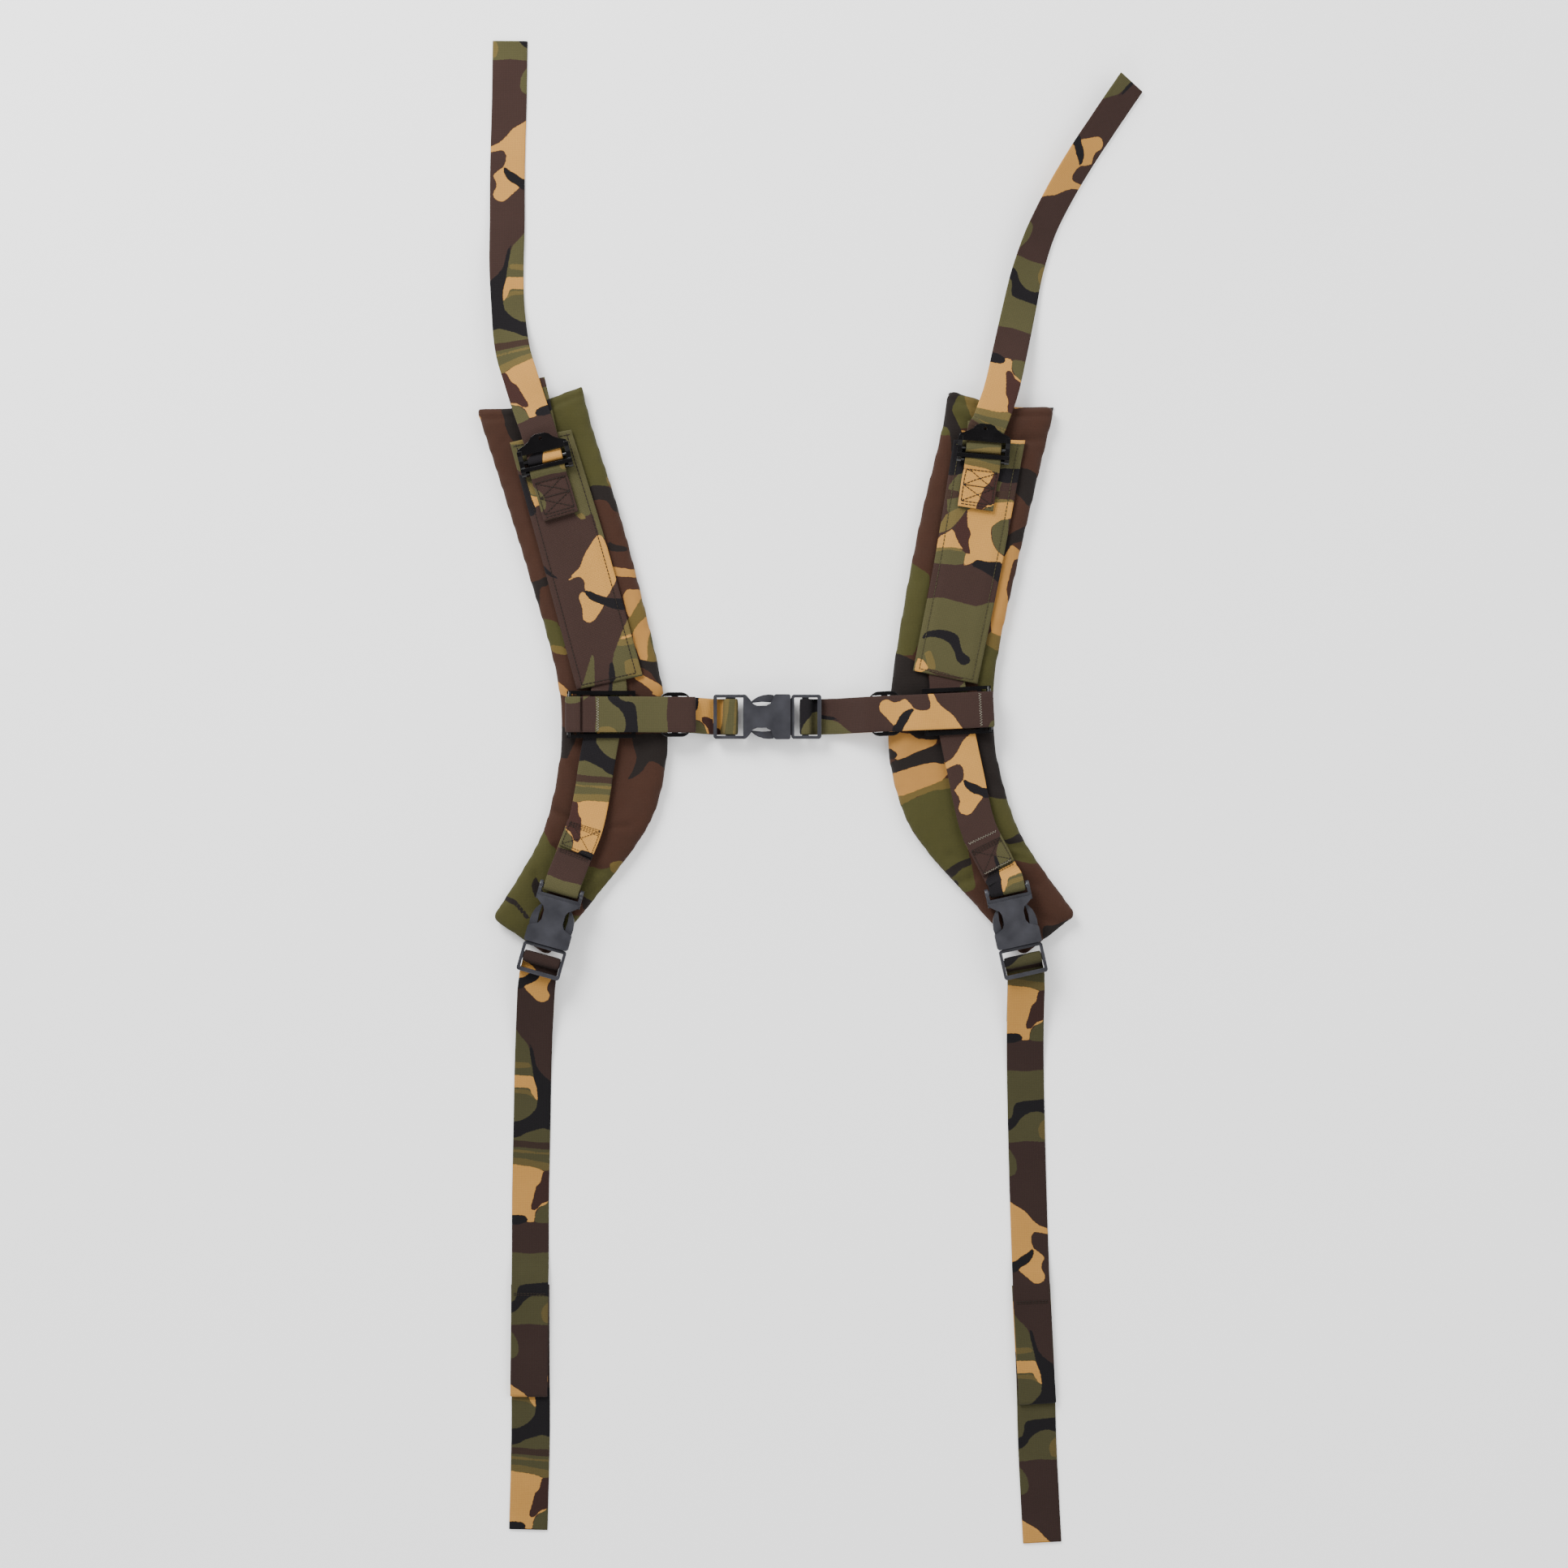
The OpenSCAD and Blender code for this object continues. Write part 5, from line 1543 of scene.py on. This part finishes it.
FINE = {"pitch": 2.0, "radius": 0.22}
ZIGZAG = {"pitch": 1.0, "gap": 0.1, "radius": 0.15}
TAB_BOXES = ((4, 15.5), (15.5, 27))
FOLD_SEAM = 66


def add_pad_stitching(side):
    name = SIDES[side]
    body = name + "_pad"
    inset, low = 0.09, 0.977
    add_threads(name + "_panel_stitches", body, [
        panel_line(side, [(inset, 0.02), (inset, low), (1 - inset, low), (1 - inset, 0.02)]),
        panel_line(side, [(0.04, 0.035), (0.96, 0.035)]),
    ], BROWN_THREAD if side == LEFT else OLIVE_THREAD)
    tab = strap_rows["tab", side]
    half = WEB_W / 2 - 1.8
    lines = [strap_line(tab, [(2, -half), (2, half)])]
    for first, last in TAB_BOXES:
        lines += crossed_box(tab, first, last, half)
    add_threads(name + "_tab_stitches", body, lines, BROWN_THREAD)
    centre = strap_rows["centre", side]
    end = centre["run"][-1]
    half = WEB_W / 2 - 1.5
    lines = crossed_box(centre, end - 19, end - 1.5, half)
    lines += cross_rows(centre, end - 19, 1.1, 4, half)
    add_threads(name + "_webbing_stitches", body, lines, BROWN_THREAD, **FINE)
    if side == RIGHT:
        pale = [strap_line(centre, zigzag_marks(end - back, half - 0.5, 22, depth), steps=2)
                for back, depth in ((0.9, 1.2), (24, 1.6))]
        add_threads(name + "_bar_tack", body, pale, PALE_THREAD, pitch=1.1, gap=0.1,
                    radius=0.16)
    keeper = strap_rows["keeper", side]
    near = row_near(keeper, KEEPER_UPPER[side][0][:3])
    add_threads(name + "_keeper_stitches", body, cross_rows(keeper, near + 2, 1.2, 3, half),
                BROWN_THREAD, **FINE)


def add_chest_stitching():
    half = WEB_W / 2 - 1
    for side, place in ((LEFT, (-148.5, 54.3, SLIDER_BAR_Z + 4.5)),
                        (RIGHT, (118.6, 57.4, SLIDER_BAR_Z + 4.4))):
        name, rows = SIDES[side], strap_rows["chest", side]
        marks = zigzag_marks(row_near(rows, place), half, 26, 1.8)
        add_threads(name + "_chest_zigzag", name + "_chest",
                    [strap_line(rows, marks, steps=2)], PALE_THREAD, **ZIGZAG)


def add_lower_stitching(side):
    name = SIDES[side]
    rows = strap_rows["lower", side]
    half = LOW_WEB_W / 2 - 1.6
    fold = row_near(rows, (*LOWER_ROUTE[side][-1][:2], 4))
    add_threads(name + "_fold_stitches", name + "_male",
                cross_rows(rows, fold - FOLD_SEAM, 1.3, 2, half), BROWN_THREAD, pitch=2.2)


for this_side in (LEFT, RIGHT):
    pad_edge = add_pad(this_side)
    add_backing(this_side, pad_edge)
    add_panel(this_side)
    add_pad_stitching(this_side)
    add_lower_stitching(this_side)
add_chest_stitching()


# ---- hardware ----

HARD = ("ladder", "female", "male", "prong", "slider", "glide")
SHINY = ("ladder", "slider", "glide")
WELD_REACH = 0.01
BEVEL = 0.4
BEVEL_SEGMENTS = 2
BEVEL_ANGLE = 32


def finish_hardware():
    """The CAD's moulded parts keep their shape, with softened edges and a real finish."""
    for name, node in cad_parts.items():
        if not any(word in name for word in HARD):
            continue
        weld = node.modifiers.new("weld", "WELD")
        weld.merge_threshold = WELD_REACH * MM
        bevel = node.modifiers.new("soft_edges", "BEVEL")
        bevel.width = BEVEL * MM
        bevel.segments = BEVEL_SEGMENTS
        bevel.limit_method = "ANGLE"
        bevel.angle_limit = math.radians(BEVEL_ANGLE)
        node.data.materials.clear()
        shiny = any(word in name for word in SHINY)
        node.data.materials.append(LOCK_PLASTIC if shiny else BUCKLE_PLASTIC)


finish_hardware()


# ---- floor ----

FLOOR_REACH = 4.0


def add_floor():
    tree = Tree("studio_floor")
    cloud = tree.noise(3, 2, tree.object_place())
    tone = tree.mix(cloud, (0.95, 0.95, 0.95, 1), (0.97, 0.97, 0.97, 1))
    material = tree.finish(tone, 0.9, specular=0.1)
    mesh = bpy.data.meshes.new("floor")
    corners = [(x * FLOOR_REACH, y * FLOOR_REACH, 0) for x, y in
               ((-1, -1), (1, -1), (1, 1), (-1, 1))]
    mesh.from_pydata(corners, [], [(0, 1, 2, 3)])
    mesh.materials.append(material)
    floor = bpy.data.objects.new("floor", mesh)
    bpy.context.scene.collection.objects.link(floor)


add_floor()
